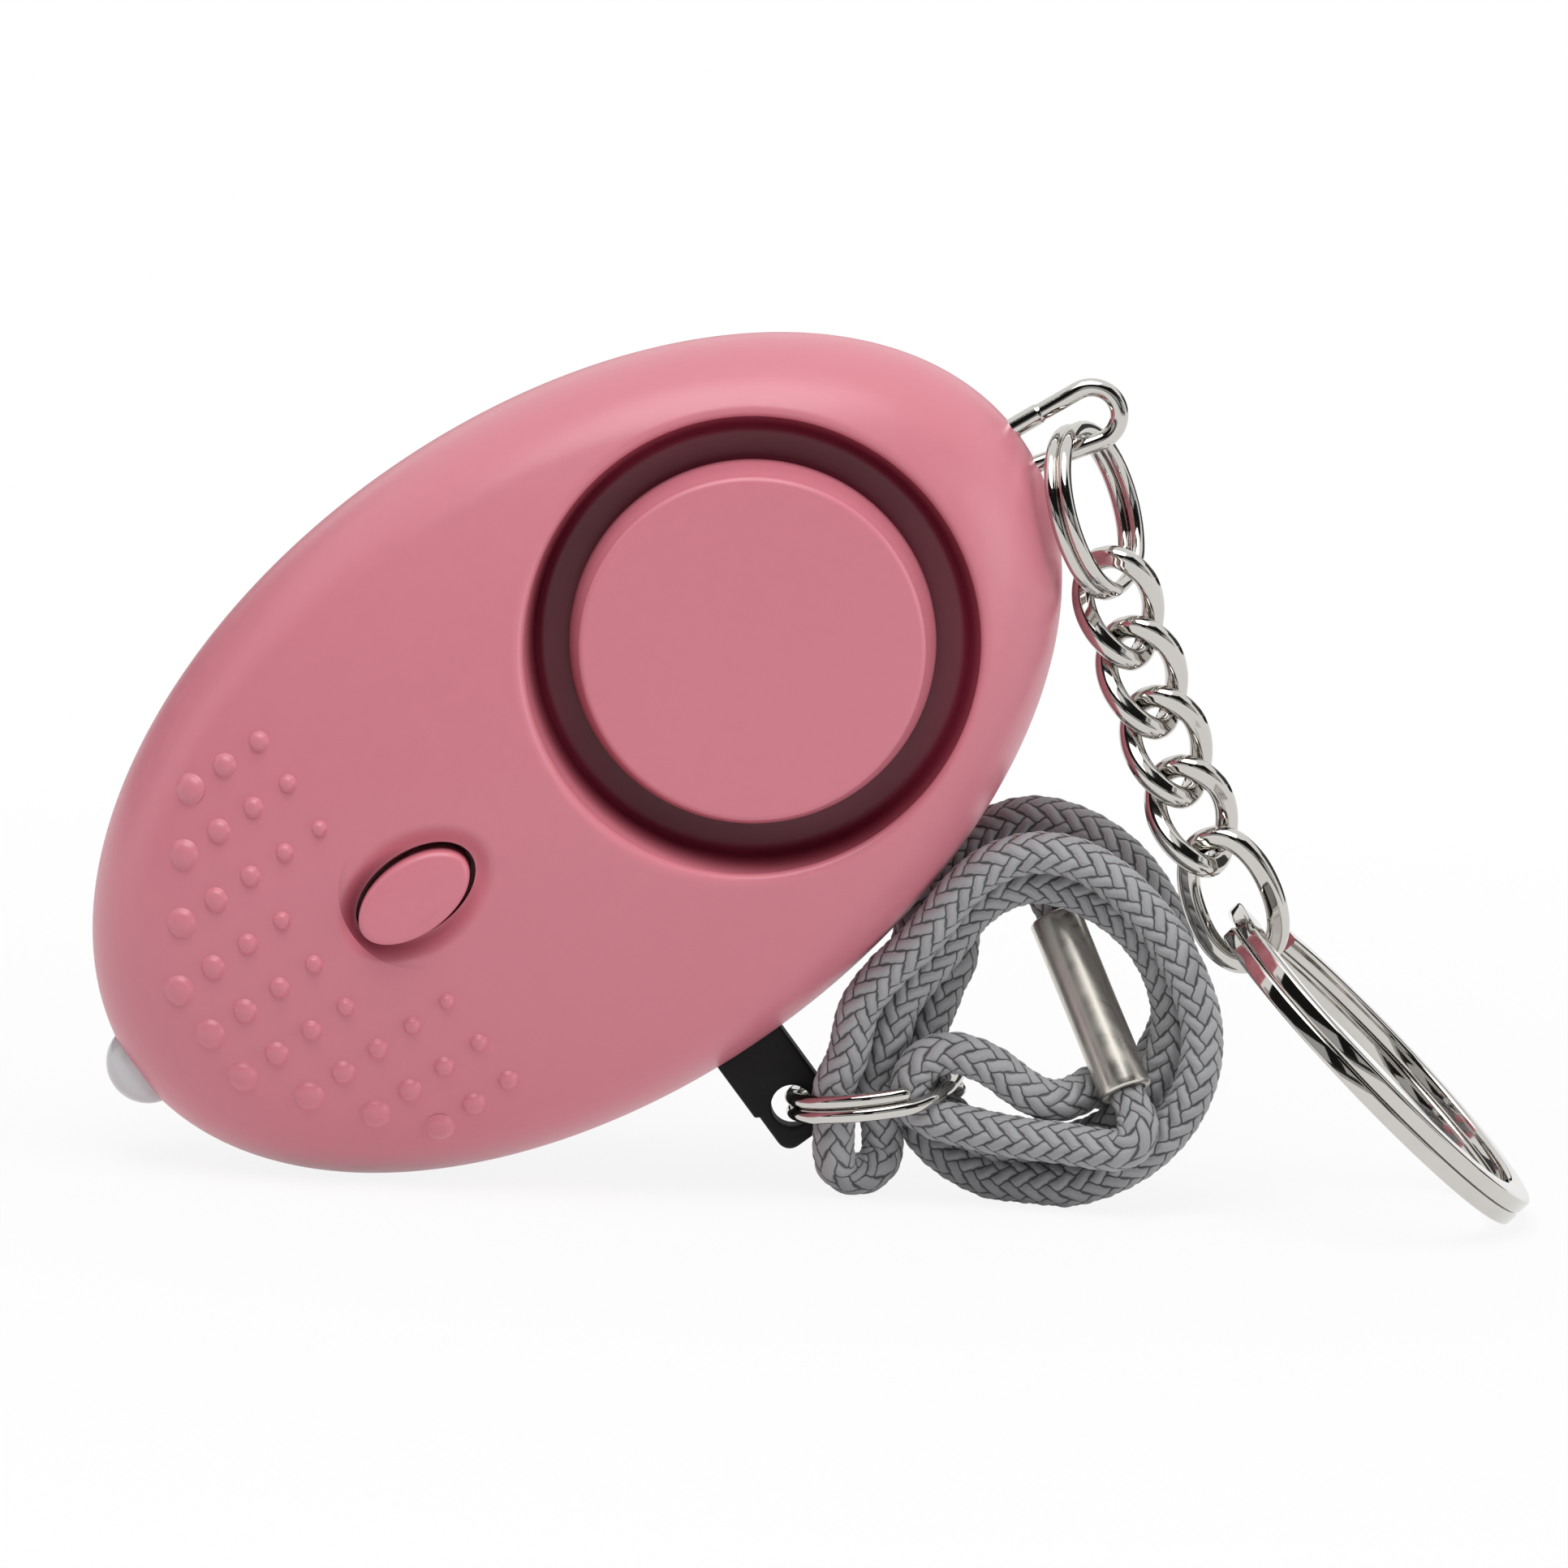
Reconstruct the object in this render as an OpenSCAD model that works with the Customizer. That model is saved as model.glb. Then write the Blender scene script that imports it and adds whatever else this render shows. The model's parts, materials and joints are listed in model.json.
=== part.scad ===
// Personal safety alarm with pull pin, wrist cord and key chain.
// Units are mm. +Z is up, the face looks along -Y, the object stands on its edge on z = 0.

/* [Body] */
// Length of the oval body
body_length = 65; // [55:0.5:75]
// Width of the oval body
body_width = 40.6; // [34:0.2:48]
// Depth of the body from front to back
body_depth = 23; // [20:0.5:28]
// Wall of both shells
wall = 1.8; // [1.2:0.1:2.4]
// Rounding of the body edge
edge_round = 8; // [5:0.5:9]
// Lean of the long axis on the table, in degrees
body_tilt = 38.6; // [34:0.2:44]

/* [Sound cap] */
// Distance of the sound recess from the middle of the body
recess_offset = 13; // [11:0.5:15]
// Diameter of the recess at its rim
recess_diameter = 27; // [24:0.2:29]
// Diameter of the cap
cap_diameter = 21.8; // [18:0.2:23]
// Height of the cap face above the parting plane
cap_level = 10; // [8.5:0.1:11]
// Height of the recess floor above the parting plane
recess_floor = 5; // [4:0.1:6]

/* [Light button] */
// Length of the oval button
button_length = 7.4; // [5:0.1:9]
// Width of the oval button
button_width = 4.2; // [3:0.1:6]
// Distance of the button from the middle of the body
button_offset = 11.6; // [10:0.1:15]
// Travel of the button
button_travel = 0.8; // [0.3:0.1:1]
// Play around the button
button_play = 0.1; // [0.05:0.01:0.2]

/* [Pips] */
// Spacing of the pip columns
pip_pitch = 2.55; // [2:0.05:3]
// Spacing of the pip rows
pip_row = 3.2; // [2.4:0.1:4]
// Diameter of the outermost pips
pip_diameter = 1.6; // [1:0.1:2]
// Height of a pip above the shell
pip_height = 0.35; // [0.2:0.05:0.6]

/* [Lamp] */
// Diameter of the lamp
lamp_diameter = 5; // [3:0.5:6]
// How far the lamp stands out of the shell
lamp_out = 1.3; // [0.8:0.1:2.5]

/* [Bail and chain] */
// Wire of the bail
bail_wire = 1.1; // [0.8:0.1:1.4]
// Distance of the bend's middle from the end of the body
bail_out = 4.2; // [3.6:0.1:6]
// Wire of the small split rings
ring_wire = 0.85; // [0.6:0.05:1]
// Wire of the chain links
link_wire = 1.4; // [1:0.1:1.5]
// Outside diameter of the flat key ring
key_diameter = 25; // [20:0.5:30]
// Radial width of the flat key ring
key_width = 1.8; // [1.4:0.1:2.4]
// Thickness of one turn of the key ring
key_turn = 1; // [0.7:0.1:1.2]

/* [Pull pin] */
// Width of the pull tab
tab_width = 4.5; // [3:0.1:6]
// Thickness of the pull tab
tab_thick = 2; // [1.4:0.1:3]
// Length of the tab outside the shell
tab_out = 6.6; // [5:0.1:9]
// Hole in the tab
tab_hole = 2.5; // [2:0.1:3]
// Thickness of the blade between the contact leaves
blade_thick = 0.8; // [0.4:0.05:1]

/* [Wrist cord] */
// Diameter of the cord
cord_diameter = 2.1; // [1.6:0.1:2.4]
// Diameter of the ferrule
ferrule_diameter = 3.2; // [2.8:0.1:3.6]

/* [Hidden] */
$fn = 48;
half_l = body_length / 2;
half_w = body_width / 2;
half_d = body_depth / 2;
egg_half_x = sqrt(pow(half_l * cos(body_tilt), 2) + pow(half_w * sin(body_tilt), 2));
body_z = sqrt(pow(half_l * sin(body_tilt), 2) + pow(half_w * cos(body_tilt), 2));
// crown radius that meets the edge rounding smoothly
function crown(l, d, e) = (pow(l - e, 2) + d * d - e * e) / (2 * (d - e));
crown_r = crown(half_l, half_d, edge_round);
// height of the outer form over a point of the parting plane
function dome(x, y) = let (r = norm([x, y * half_l / half_w]))
    half_d - crown_r + sqrt(pow(crown_r, 2) - r * r);

// a point of the parting plane: x from the middle of the body, z from the table
function leaned(p) = [p[0] * cos(body_tilt) - p[1] * sin(body_tilt),
    body_z + p[0] * sin(body_tilt) + p[1] * cos(body_tilt)];

// bail: two legs and a round bend, in the parting plane of the body
bend_at = [half_l + bail_out, -1.55];
bend_r = 1.65;
leg_up = [-0.995, 0.1];
leg_low = [-0.963, 0.27];
bend_top = bend_at + bend_r * [0.1, 0.995];
bend_low = bend_at + bend_r * [-0.27, -0.963];

// chain, hung from the bail: x from the middle of the body, z from the table
bail_ring_mid = leaned(bend_at) + [0.451, -5.73];
bail_ring_r = 4.95;
bail_ring_down = [0.34, 0, -0.94];
bail_ring_side = [0.329, 0.937, 0.119];
link_at = [for (p = [[1.8, -5.75], [3.4, -9.85], [5.05, -13.95], [6.75, -18.05], [9.3, -22.95]])
    bail_ring_mid + p];
link_dir = [[0.34, -0.94], [0.36, -0.93], [0.39, -0.92], [0.41, -0.91], [0.4, -0.917]];
link_spin = [15, 15, 15, 15, -12];
link_turn = [45, 45, 45, 45, 12];
link_half = [3.15, 3.15, 3.15, 3.15, 3.9];
link_side = [2.05, 2.05, 2.05, 2.05, 2.4];

// key ring: its band hangs in the last link and its low end lies on the table
key_hang = link_at[4] + [0.454, -1.434];
key_far = key_diameter - key_width / 2;
key_lift = 0.03;
key_slope = asin((key_hang[1] - key_lift) / norm([key_far, key_turn])) - atan2(key_turn, key_far);
key_reach = key_diameter / 2 - key_width / 2;
key_right = key_hang[0] + key_far * cos(key_slope) + key_turn * sin(key_slope);
body_x = -(key_right - egg_half_x) / 2;
key_mid = [body_x + key_hang[0] + key_reach * cos(key_slope), 0, key_hang[1] - key_reach * sin(key_slope)];

screw_at = [[-10, 13], [-10, -13], [4, 15.4], [4, -15.4]];
lamp_back = -half_l - lamp_out + lamp_diameter / 2 + 5.6;
board_start = lamp_back + 1.7;
board_top = -1.4;
board_low = -2.6;
board_end = 0.2;
cell_at = [[6.3, 6.1], [6.3, -6.1], [17, 0]];
cell_r = 5.8;
cell_top = -1.2;
cell_low = -6.6;
piezo_r = 11.5;
floor_low = recess_floor - 1.6;
gasket_low = floor_low - 0.85;
plate_low = gasket_low - 0.25;
tab_mid = -2.05;
tab_root = 0.1 - half_w;
tab_tip = tab_root - tab_out;
hole_at = [tab_mid, tab_tip + 2.2];
slot_play = 0.1;
post_at = [[board_start + 4, 0, 1.5, board_low], [-7, 9, 1.5, board_low], [-7, -9, 1.5, board_low],
    [9.9, 0, 1, -5.6], [23.7, 0, 0.7, -5.6], [1.6, 10.9, 0.7, -5.6], [1.6, -10.9, 0.7, -5.6]];

// pin split ring
pin_ring_r = 5;
pin_ring_tilt = 10;

// wrist cord, from the middle of its coil
coil_mid = [body_x + 27.4, 0, 11.55];
ferrule_low = [6.2, -3.4, -4.2];
ferrule_up = [1.5, 1.6, 5.4];
ferrule_axis = (ferrule_up - ferrule_low) / norm(ferrule_up - ferrule_low);
inner_r = [[420, 6.2], [480, 5.4], [510, 4.8], [540, 4.9], [570, 6.9], [590, 8.05], [615, 8],
    [640, 8.3], [680, 8.9], [720, 8.8], [780, 7.7], [810, 8], [840, 6.9], [865, 5.7], [880, 6], [895, 7.5],
    [910, 8.5], [940, 8.8]];
inner_y = [[420, 3], [480, 2.6], [510, 2.1], [540, 1.3], [580, 0.3], [640, -0.4], [680, -0.3], [720, -0.2],
    [780, -0.5], [810, -0.9], [840, -1], [870, -1], [900, -1], [940, -0.6]];
outer_r = [[270, 6.6], [330, 8.2], [400, 9.8], [450, 11.2], [470, 10.4], [490, 8.8], [520, 7.1],
    [540, 7.2], [580, 9.2], [600, 10.1], [620, 10.4], [640, 10.55], [670, 11], [700, 11.1], [720, 10.6],
    [740, 9.5], [765, 9.4], [785, 9.8], [815, 10.3], [838, 8.6], [862, 7.2], [877, 7.6],
    [890, 8.9], [905, 11], [940, 11.5]];
outer_y = [[270, 2.6], [330, 3.4], [400, 4.6], [450, 5.2], [500, 4.9], [540, 3.3], [590, 1.9],
    [615, 0.3], [645, -2.1], [690, -2.6], [770, -2.6], [810, -2.9], [840, -3], [870, -3], [890, -2.9],
    [905, -2.5], [940, -2.3]];
function soft(t, table) = (lookup(t - 20, table) + 2 * lookup(t, table) + lookup(t + 20, table)) / 4;
function wound(t, radii, depths) = [soft(t, radii) * cos(t), soft(t, depths), soft(t, radii) * sin(t)];
fold_mid = [-9.6, -8.8];
fold_r = 1.45;
coil_start = [ferrule_up, ferrule_up + ferrule_axis * 1.05, ferrule_up + ferrule_axis * 2.1,
    [-0.4, 3, 8], [-1.7, 3.3, 7.9], [-2.9, 3.3, 7.2], [-3.7, 3.2, 6.1], [-4.1, 2.8, 4.6]];
coil_inner = [for (t = [510:15:915]) wound(t, inner_r, inner_y)];
coil_fold = concat([[-8.9, -0.4, -4.4], [-8.4, 0, -6.5]],
    [for (k = [0:4])
        [fold_mid[0] + fold_r * cos(45 * k), 0.2 - 2.4 * k / 4, fold_mid[1] - fold_r * sin(45 * k)]],
    [[-11.1, -2.4, -6.7], [-11.2, -2.4, -4.8]]);
coil_outer = [for (t = [915:-15:330]) wound(t, outer_r, outer_y)];
lead_route = [[5.7, 2.5, -5], [4.6, 1.2, -4.7], [4, -0.3, -4.5], [3.2, -1.5, -4.8], [2.2, -2.4, -5],
    [1, -2.9, -4.8], [-0.3, -3, -4.1], [-1.6, -3, -3.2], [-3, -2.9, -2.6], [-4.4, -2.7, -2.4],
    [-5.8, -2.6, -2.9], [-6.6, -2.5, -4.2], [-6.3, -2.5, -5.6], [-5, -2.8, -6.4], [-3.2, -3.2, -6.7],
    [-1.4, -3.5, -7], [0.6, -3.8, -7.2], [2.6, -4.1, -7.3], [4.2, -4.4, -7.45], [5.58, -4.6, -7.5],
    [6.45, -4.75, -7.2], [6.93, -4.6, -6.45], ferrule_low - ferrule_axis * 1.6,
    ferrule_low - ferrule_axis * 0.8, ferrule_low];
cord_all = concat(coil_start, coil_inner, coil_fold, coil_outer, lead_route);
coil_count = len(coil_start) + len(coil_inner) + len(coil_fold) + len(coil_outer);
// smooth curve through the points, two steps to a span
function spline(p, n) = concat([for (i = [0:len(p) - 2], k = [0:n - 1])
    let (t = k / n, a = p[max(i - 1, 0)], b = p[i], c = p[i + 1], e = p[min(i + 2, len(p) - 1)])
    0.5 * (2 * b + (c - a) * t + (2 * a - 5 * b + 4 * c - e) * t * t + (3 * b - a - 3 * c + e) * t * t * t)],
    [p[len(p) - 1]]);
cord_path = spline(cord_all, 2);
coil_last = 2 * (coil_count - 1);
cord_length = sum_steps(cord_path, len(cord_path) - 1);
function sum_steps(p, i) = i == 0 ? 0 : norm(p[i] - p[i - 1]) + sum_steps(p, i - 1);
// least gap of the cord to itself, away from its own neighbouring points
cord_gap = min([for (i = [0:len(cord_path) - 8], j = [i + 7:len(cord_path) - 1])
    let (d = norm(cord_path[i] - cord_path[j])) d > 0 ? d : 99]) - cord_diameter;
echo(cord_length = cord_length, cord_gap = cord_gap);

// Sub-part to draw, or all of them

// from the lying body to its place on the table
module placed() {
    translate([body_x, 0, body_z])
        rotate([0, -body_tilt, 0])
            rotate([90, 0, 0])
                children();
}

// block from a low corner to a high corner
module block(low, high) {
    translate(low)
        cube(high - low);
}

// cylinder between two points
module rod(p, q, r) {
    d = q - p;
    translate(p)
        rotate([0, acos(d[2] / norm(d)), atan2(d[1], d[0])])
            cylinder(r = r, h = norm(d));
}

// half of the oval form: crown and rounded edge, in four quarters
module half_form(l, w, d, e) {
    big = crown(l, d, e);
    turn = atan2(l - e, big - d);
    meet = big * sin(turn);
    scale([1, w / l, 1])
        for (a = [0:90:270])
            rotate([0, 0, a])
                rotate_extrude(angle = 90, $fn = 128)
                    union() {
                        intersection() {
                            translate([0, d - big])
                                circle(r = big, $fn = 256);
                            square([meet, d]);
                        }
                        intersection() {
                            translate([l - e, 0])
                                circle(r = e, $fn = 128);
                            translate([meet, 0])
                                square([l, d]);
                        }
                    }
}

module outer_half() {
    half_form(half_l, half_w, half_d, edge_round);
}

module inner_half() {
    half_form(half_l - wall, half_w - wall, half_d - wall, edge_round - wall);
}

// wire around points, with its section turned in given frames
module swept(points, side_a, side_b, r, sides, closed) {
    n = len(points);
    m = closed ? n : n - 1;
    verts = [for (i = [0:n - 1], k = [0:sides - 1])
        points[i] + r * (cos(360 * k / sides) * side_a[i] + sin(360 * k / sides) * side_b[i])];
    quads = [for (i = [0:m - 1], k = [0:sides - 1]) let (j = (i + 1) % n, h = (k + 1) % sides)
        each [[i * sides + k, j * sides + k, j * sides + h], [i * sides + k, j * sides + h, i * sides + h]]];
    ends = closed ? [] : [[for (k = [0:sides - 1]) k], [for (k = [sides - 1:-1:0]) (n - 1) * sides + k]];
    polyhedron(points = verts, faces = concat(quads, ends), convexity = 10);
}

function unit(v) = v / norm(v);
function tangents(p) = [for (i = [0:len(p) - 1]) unit(p[min(i + 1, len(p) - 1)] - p[max(i - 1, 0)])];
// side directions carried along a curve without turning
function carried(t, i, n, out) = i == len(t) ? out :
    let (s = unit(n - (n * t[i]) * t[i])) carried(t, i + 1, s, concat(out, [s]));

// one stretch of the wrist cord, from one point of its path to another
module cord_stretch(first, last) {
    t = tangents(cord_path);
    a = carried(t, 0, cross(t[0], unit([0.3, 0.8, 0.52])), []);
    span = [first:last];
    translate(coil_mid)
        swept([for (i = span) cord_path[i]], [for (i = span) a[i]], [for (i = span) cross(t[i], a[i])],
            cord_diameter / 2, 6, false);
}

// two-turn split ring of round wire about the local Z axis
module split_ring(r, wire, sides) {
    rise = wire * 0.505;
    steps = [for (t = [30:15:690]) t];
    level = [for (t = steps) lookup(t, [[330, -rise], [345, -rise * 0.6], [375, rise * 0.6], [390, rise]])];
    points = [for (i = [0:len(steps) - 1]) [r * cos(steps[i]), r * sin(steps[i]), level[i]]];
    radial = [for (t = steps) [cos(t), sin(t), 0]];
    axial = [for (t = steps) [0, 0, 1]];
    swept(points, axial, radial, wire / 2, sides, false);
}

// two-turn split ring of flat band about the local Z axis
module flat_ring(r, width, turn) {
    rise = turn * 0.505;
    steps = [for (t = [30:7.5:690]) t];
    level = [for (t = steps) lookup(t, [[337.5, -rise], [382.5, rise]])];
    points = [for (i = [0:len(steps) - 1]) for (c = [[0, -1], [1, -1], [1, 1], [0, 1]])
        [(r - width + width * c[0]) * cos(steps[i]), (r - width + width * c[0]) * sin(steps[i]),
            level[i] + turn / 2 * c[1]]];
    n = len(steps);
    quads = [for (i = [0:n - 2], k = [0:3]) let (h = (k + 1) % 4)
        each [[i * 4 + k, (i + 1) * 4 + k, (i + 1) * 4 + h], [i * 4 + k, (i + 1) * 4 + h, i * 4 + h]]];
    polyhedron(points = points, faces = concat(quads, [[0, 1, 2, 3]], [[for (k = [3:-1:0]) (n - 1) * 4 + k]]),
        convexity = 10);
}

// turns local X and Y onto two given directions
module turned(x, y, at) {
    z = cross(x, y);
    multmatrix([[x[0], y[0], z[0], at[0]], [x[1], y[1], z[1], at[1]],
        [x[2], y[2], z[2], at[2]], [0, 0, 0, 1]])
        children();
}

// curb link: a long loop, turned along its length
module chain_link(i) {
    t = unit([link_dir[i][0], 0, link_dir[i][1]]);
    side = [-t[2], 0, t[0]];
    half = link_half[i];
    wide = link_side[i];
    flat = half - wide;
    mid = [body_x + link_at[i][0], 0, link_at[i][1]];
    ring = concat(
        [for (k = [0:3]) [wide, -flat + 2 * flat * k / 4, 1, 0]],
        [for (a = [0:20:160]) [wide * cos(a), flat + wide * sin(a), cos(a), sin(a)]],
        [for (k = [0:3]) [-wide, flat - 2 * flat * k / 4, -1, 0]],
        [for (a = [180:20:340]) [wide * cos(a), -flat + wide * sin(a), cos(a), sin(a)]]);
    spin = [for (q = ring) link_spin[i] + link_turn[i] * q[1] / half];
    across = [for (f = spin) cos(f) * side + [0, sin(f), 0]];
    points = [for (k = [0:len(ring) - 1]) mid + t * ring[k][1] + ring[k][0] * across[k]];
    out = [for (k = [0:len(ring) - 1]) unit(ring[k][2] * across[k] + ring[k][3] * t)];
    flank = [for (k = [0:len(ring) - 1]) cross(across[k], t)];
    swept(points, flank, out, link_wire / 2, 8, true);
}

// front shell: dome, recess with a floor, button dish, screw bosses and pips
module front_shell() {
    color([0.86, 0.55, 0.6])
        placed()
            difference() {
                union() {
                    difference() {
                        outer_half();
                        inner_half();
                    }
                    intersection() {
                        outer_half();
                        union() {
                            translate([recess_offset, 0, floor_low])
                                cylinder(d = recess_diameter + 3, h = half_d);
                            for (p = screw_at)
                                translate([p[0], p[1], 0])
                                    cylinder(r = 2.2, h = half_d);
                        }
                    }
                    pips();
                }
                translate([recess_offset, 0, recess_floor])
                    cylinder(d1 = recess_diameter - 0.4, d2 = recess_diameter + 0.4, h = half_d);
                sound_holes();
                button_cut();
                for (p = screw_at)
                    translate([p[0], p[1], -1])
                        cylinder(r = 0.8, h = 6);
                edge_cuts();
            }
}

module sound_holes() {
    translate([recess_offset, 0, floor_low - 1])
        cylinder(r = 1.5, h = 4);
    for (k = [0:7])
        translate([recess_offset + 5 * cos(45 * k + 22.5), 5 * sin(45 * k + 22.5), floor_low - 1])
            cylinder(r = 0.9, h = 4);
}

module button_cut() {
    translate([-button_offset, 0, 0])
        scale([1, (button_width + 2 * button_play) / (button_length + 2 * button_play), 1])
            cylinder(d = button_length + 2 * button_play, h = 20);
    translate([-button_offset, 0, dome(button_offset, 0) - 0.72])
        scale([1, (button_width + 2.3) / (button_length + 2.3), 1])
            cylinder(d1 = button_length + 0.6, d2 = button_length + 3.2, h = 1.3);
}

// round pips, largest at the outer end of each row
module pips() {
    for (k = [-4:4])
        for (j = [(abs(k) < 2 ? 2 : 0):(abs(k) < 2 ? 5 : 6 - abs(k))]) {
            last = abs(k) < 2 ? 5 : 6 - abs(k);
            r = pip_diameter / 2 * lookup(last - j, [[0, 1], [1, 0.81], [2, 0.69], [3, 0.6], [4, 0.53]]);
            ball = (r * r + pip_height * pip_height) / (2 * pip_height);
            x = -14 - pip_pitch * j;
            y = k * pip_row * (abs(k) == 4 ? 0.98 : 1);
            translate([x, y, dome(x, y) + pip_height - ball])
                sphere(r = ball, $fn = 24);
        }
}

// cuts shared by both shells at the parting plane: lamp, bail legs and pin slot
module edge_cuts() {
    translate([-half_l - 5, 0, 0])
        rotate([0, 90, 0])
            cylinder(d = lamp_diameter + 0.04, h = 9);
    rod(concat(bend_top, 0), concat(bend_top + 9 * leg_up, 0), bail_wire / 2 + 0.02);
    rod(concat(bend_low, 0), concat(bend_low + 9 * leg_low, 0), bail_wire / 2 + 0.02);
    block([tab_mid - tab_width / 2 - slot_play, tab_root - 4.8, -tab_thick / 2 - slot_play],
        [tab_mid + tab_width / 2 + slot_play, tab_root + 2.7, tab_thick / 2 + slot_play]);
}

// rear shell: dome, screw bosses with head pockets, posts for the board and the cell tray
module rear_shell() {
    color([0.84, 0.53, 0.58])
        placed()
            difference() {
                union() {
                    rotate([180, 0, 0])
                        difference() {
                            outer_half();
                            inner_half();
                        }
                    intersection() {
                        rotate([180, 0, 0])
                            outer_half();
                        union() {
                            for (p = screw_at)
                                translate([p[0], p[1], -half_d])
                                    cylinder(r = 2.2, h = half_d);
                            for (p = post_at)
                                translate([p[0], p[1], -half_d])
                                    cylinder(r = p[2], h = half_d + p[3]);
                        }
                    }
                }
                for (p = screw_at) {
                    translate([p[0], p[1], -half_d - 1])
                        cylinder(r = 1.65, h = half_d + 1 - 3);
                    translate([p[0], p[1], -half_d])
                        cylinder(r = 1.05, h = half_d + 1);
                }
                edge_cuts();
            }
}

module shell_screws() {
    color([0.5, 0.5, 0.52])
        placed()
            for (p = screw_at)
                translate([p[0], p[1], 0])
                    difference() {
                        union() {
                            translate([0, 0, -4.2])
                                cylinder(r = 1.5, h = 1.2);
                            translate([0, 0, -3.5])
                                cylinder(r = 0.78, h = 8);
                        }
                        for (a = [0, 90])
                            rotate([0, 0, a])
                                translate([-1, -0.2, -4.7])
                                    cube([2, 0.4, 1.1]);
                    }
}

module sound_cap() {
    color([0.85, 0.53, 0.58])
        placed()
            translate([recess_offset, 0, 0])
                union() {
                    translate([0, 0, recess_floor + 1.2])
                        cylinder(d = cap_diameter, h = cap_level - recess_floor - 1.8);
                    translate([0, 0, cap_level - 0.6])
                        cylinder(d1 = cap_diameter, d2 = cap_diameter - 1.1, h = 0.6);
                    for (a = [0:90:270])
                        translate([8 * cos(a), 8 * sin(a), recess_floor])
                            cylinder(r = 1.1, h = 2);
                }
}

module light_button() {
    ratio = button_width / button_length;
    color([0.85, 0.5, 0.56])
        placed()
            translate([-button_offset, 0, 0])
                union() {
                    scale([1, ratio, 1]) {
                        translate([0, 0, 7.4])
                            cylinder(d = button_length, h = half_d - 0.3 - 7.4, $fn = 128);
                        translate([0, 0, half_d - 0.3])
                            cylinder(d1 = button_length, d2 = button_length - 0.8, h = 0.4, $fn = 128);
                    }
                    translate([0, 0, 7])
                        scale([1, 0.65, 1])
                            cylinder(d = 9.2, h = 0.8, $fn = 128);
                }
}

module switch_plunger() {
    color([0.15, 0.15, 0.15])
        placed()
            translate([-button_offset, 0, 1.4])
                cylinder(r = 1.7, h = 5.6);
}

module switch_body() {
    color([0.2, 0.2, 0.22])
        placed()
            translate([-button_offset, 0, 0])
                difference() {
                    block([-3, -3, board_top], [3, 3, 2.2]);
                    translate([0, 0, 0.4])
                        cylinder(r = 1.75, h = 3);
                }
}

module circuit_board() {
    color([0.1, 0.35, 0.2])
        placed()
            difference() {
                intersection() {
                    translate([0, 0, board_low])
                        scale([1, (half_w - 4.3) / (half_l - 6.5), 1])
                            cylinder(r = half_l - 6.5, h = board_top - board_low);
                    block([board_start, -half_w, -5], [board_end, half_w, 5]);
                }
                for (p = screw_at)
                    translate([p[0], p[1], -5])
                        cylinder(r = 2.5, h = 10);
            }
}

module driver_chip() {
    color([0.08, 0.08, 0.09])
        placed()
            union() {
                block([-9.4, -10.4, -1.25], [-5.4, -5.4, 0.2]);
                for (k = [0:3])
                    for (s = [0, 1])
                        translate([s == 0 ? -10.2 : -5.6, -9.9 + 1.27 * k, board_top])
                            cube([1, 0.4, 0.5]);
            }
}

module transistor() {
    color([0.1, 0.1, 0.1])
        placed()
            union() {
                intersection() {
                    translate([-6.6, 8, 0])
                        cylinder(r = 2.3, h = 4.2);
                    block([-9, 6.6, 0], [-4, 11, 4.2]);
                }
                for (k = [-1:1])
                    block([-6.8 + 1.2 * k, 7.8, board_top], [-6.4 + 1.2 * k, 8.2, 0.3]);
            }
}

module capacitor() {
    color([0.2, 0.22, 0.4])
        placed()
            translate([-18, -7, board_top])
                cylinder(r = 2, h = 5);
}

module coil_core() {
    color([0.25, 0.25, 0.26])
        placed()
            translate([-18, 7, board_top])
                union() {
                    cylinder(r = 3, h = 0.6);
                    cylinder(r = 1.4, h = 4);
                    translate([0, 0, 3.4])
                        cylinder(r = 3, h = 0.6);
                }
}

module coil_winding() {
    color([0.75, 0.42, 0.2])
        placed()
            translate([-18, 7, board_top + 0.6])
                difference() {
                    cylinder(r = 2.6, h = 2.8);
                    translate([0, 0, -1])
                        cylinder(r = 1.4, h = 5);
                }
}

module chip_resistors() {
    color([0.15, 0.15, 0.16])
        placed()
            for (p = [[-14, 8], [-14, -8], [-12.2, 5.5], [-12.2, -5.5]])
                block([p[0] - 0.8, p[1] - 0.4, board_top], [p[0] + 0.8, p[1] + 0.4, board_top + 0.5]);
}

// lamp: domed lens, body and flange
module lamp() {
    r = lamp_diameter / 2;
    tip = -half_l - lamp_out;
    color([0.9, 0.92, 0.95])
        placed()
            union() {
                translate([tip + r, 0, 0])
                    sphere(r = r);
                translate([tip + r, 0, 0])
                    rotate([0, 90, 0])
                        cylinder(r = r, h = 4.6);
                translate([tip + r + 4.6, 0, 0])
                    rotate([0, 90, 0])
                        cylinder(r = r + 0.4, h = 1);
            }
}

module lamp_leads() {
    foot = board_start + 2.4;
    color([0.75, 0.76, 0.78])
        placed()
            for (s = [-1, 1])
                union() {
                    block([lamp_back, s * 1.27 - 0.25, -0.25], [foot, s * 1.27 + 0.25, 0.25]);
                    block([foot - 0.5, s * 1.27 - 0.25, board_top], [foot, s * 1.27 + 0.25, 0.25]);
                }
}

module piezo_plate() {
    color([0.8, 0.65, 0.3])
        placed()
            translate([recess_offset, 0, plate_low])
                cylinder(r = piezo_r, h = 0.25);
}

module piezo_ceramic() {
    color([0.85, 0.83, 0.78])
        placed()
            translate([recess_offset, 0, plate_low - 0.2])
                cylinder(r = 8, h = 0.2);
}

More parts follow.
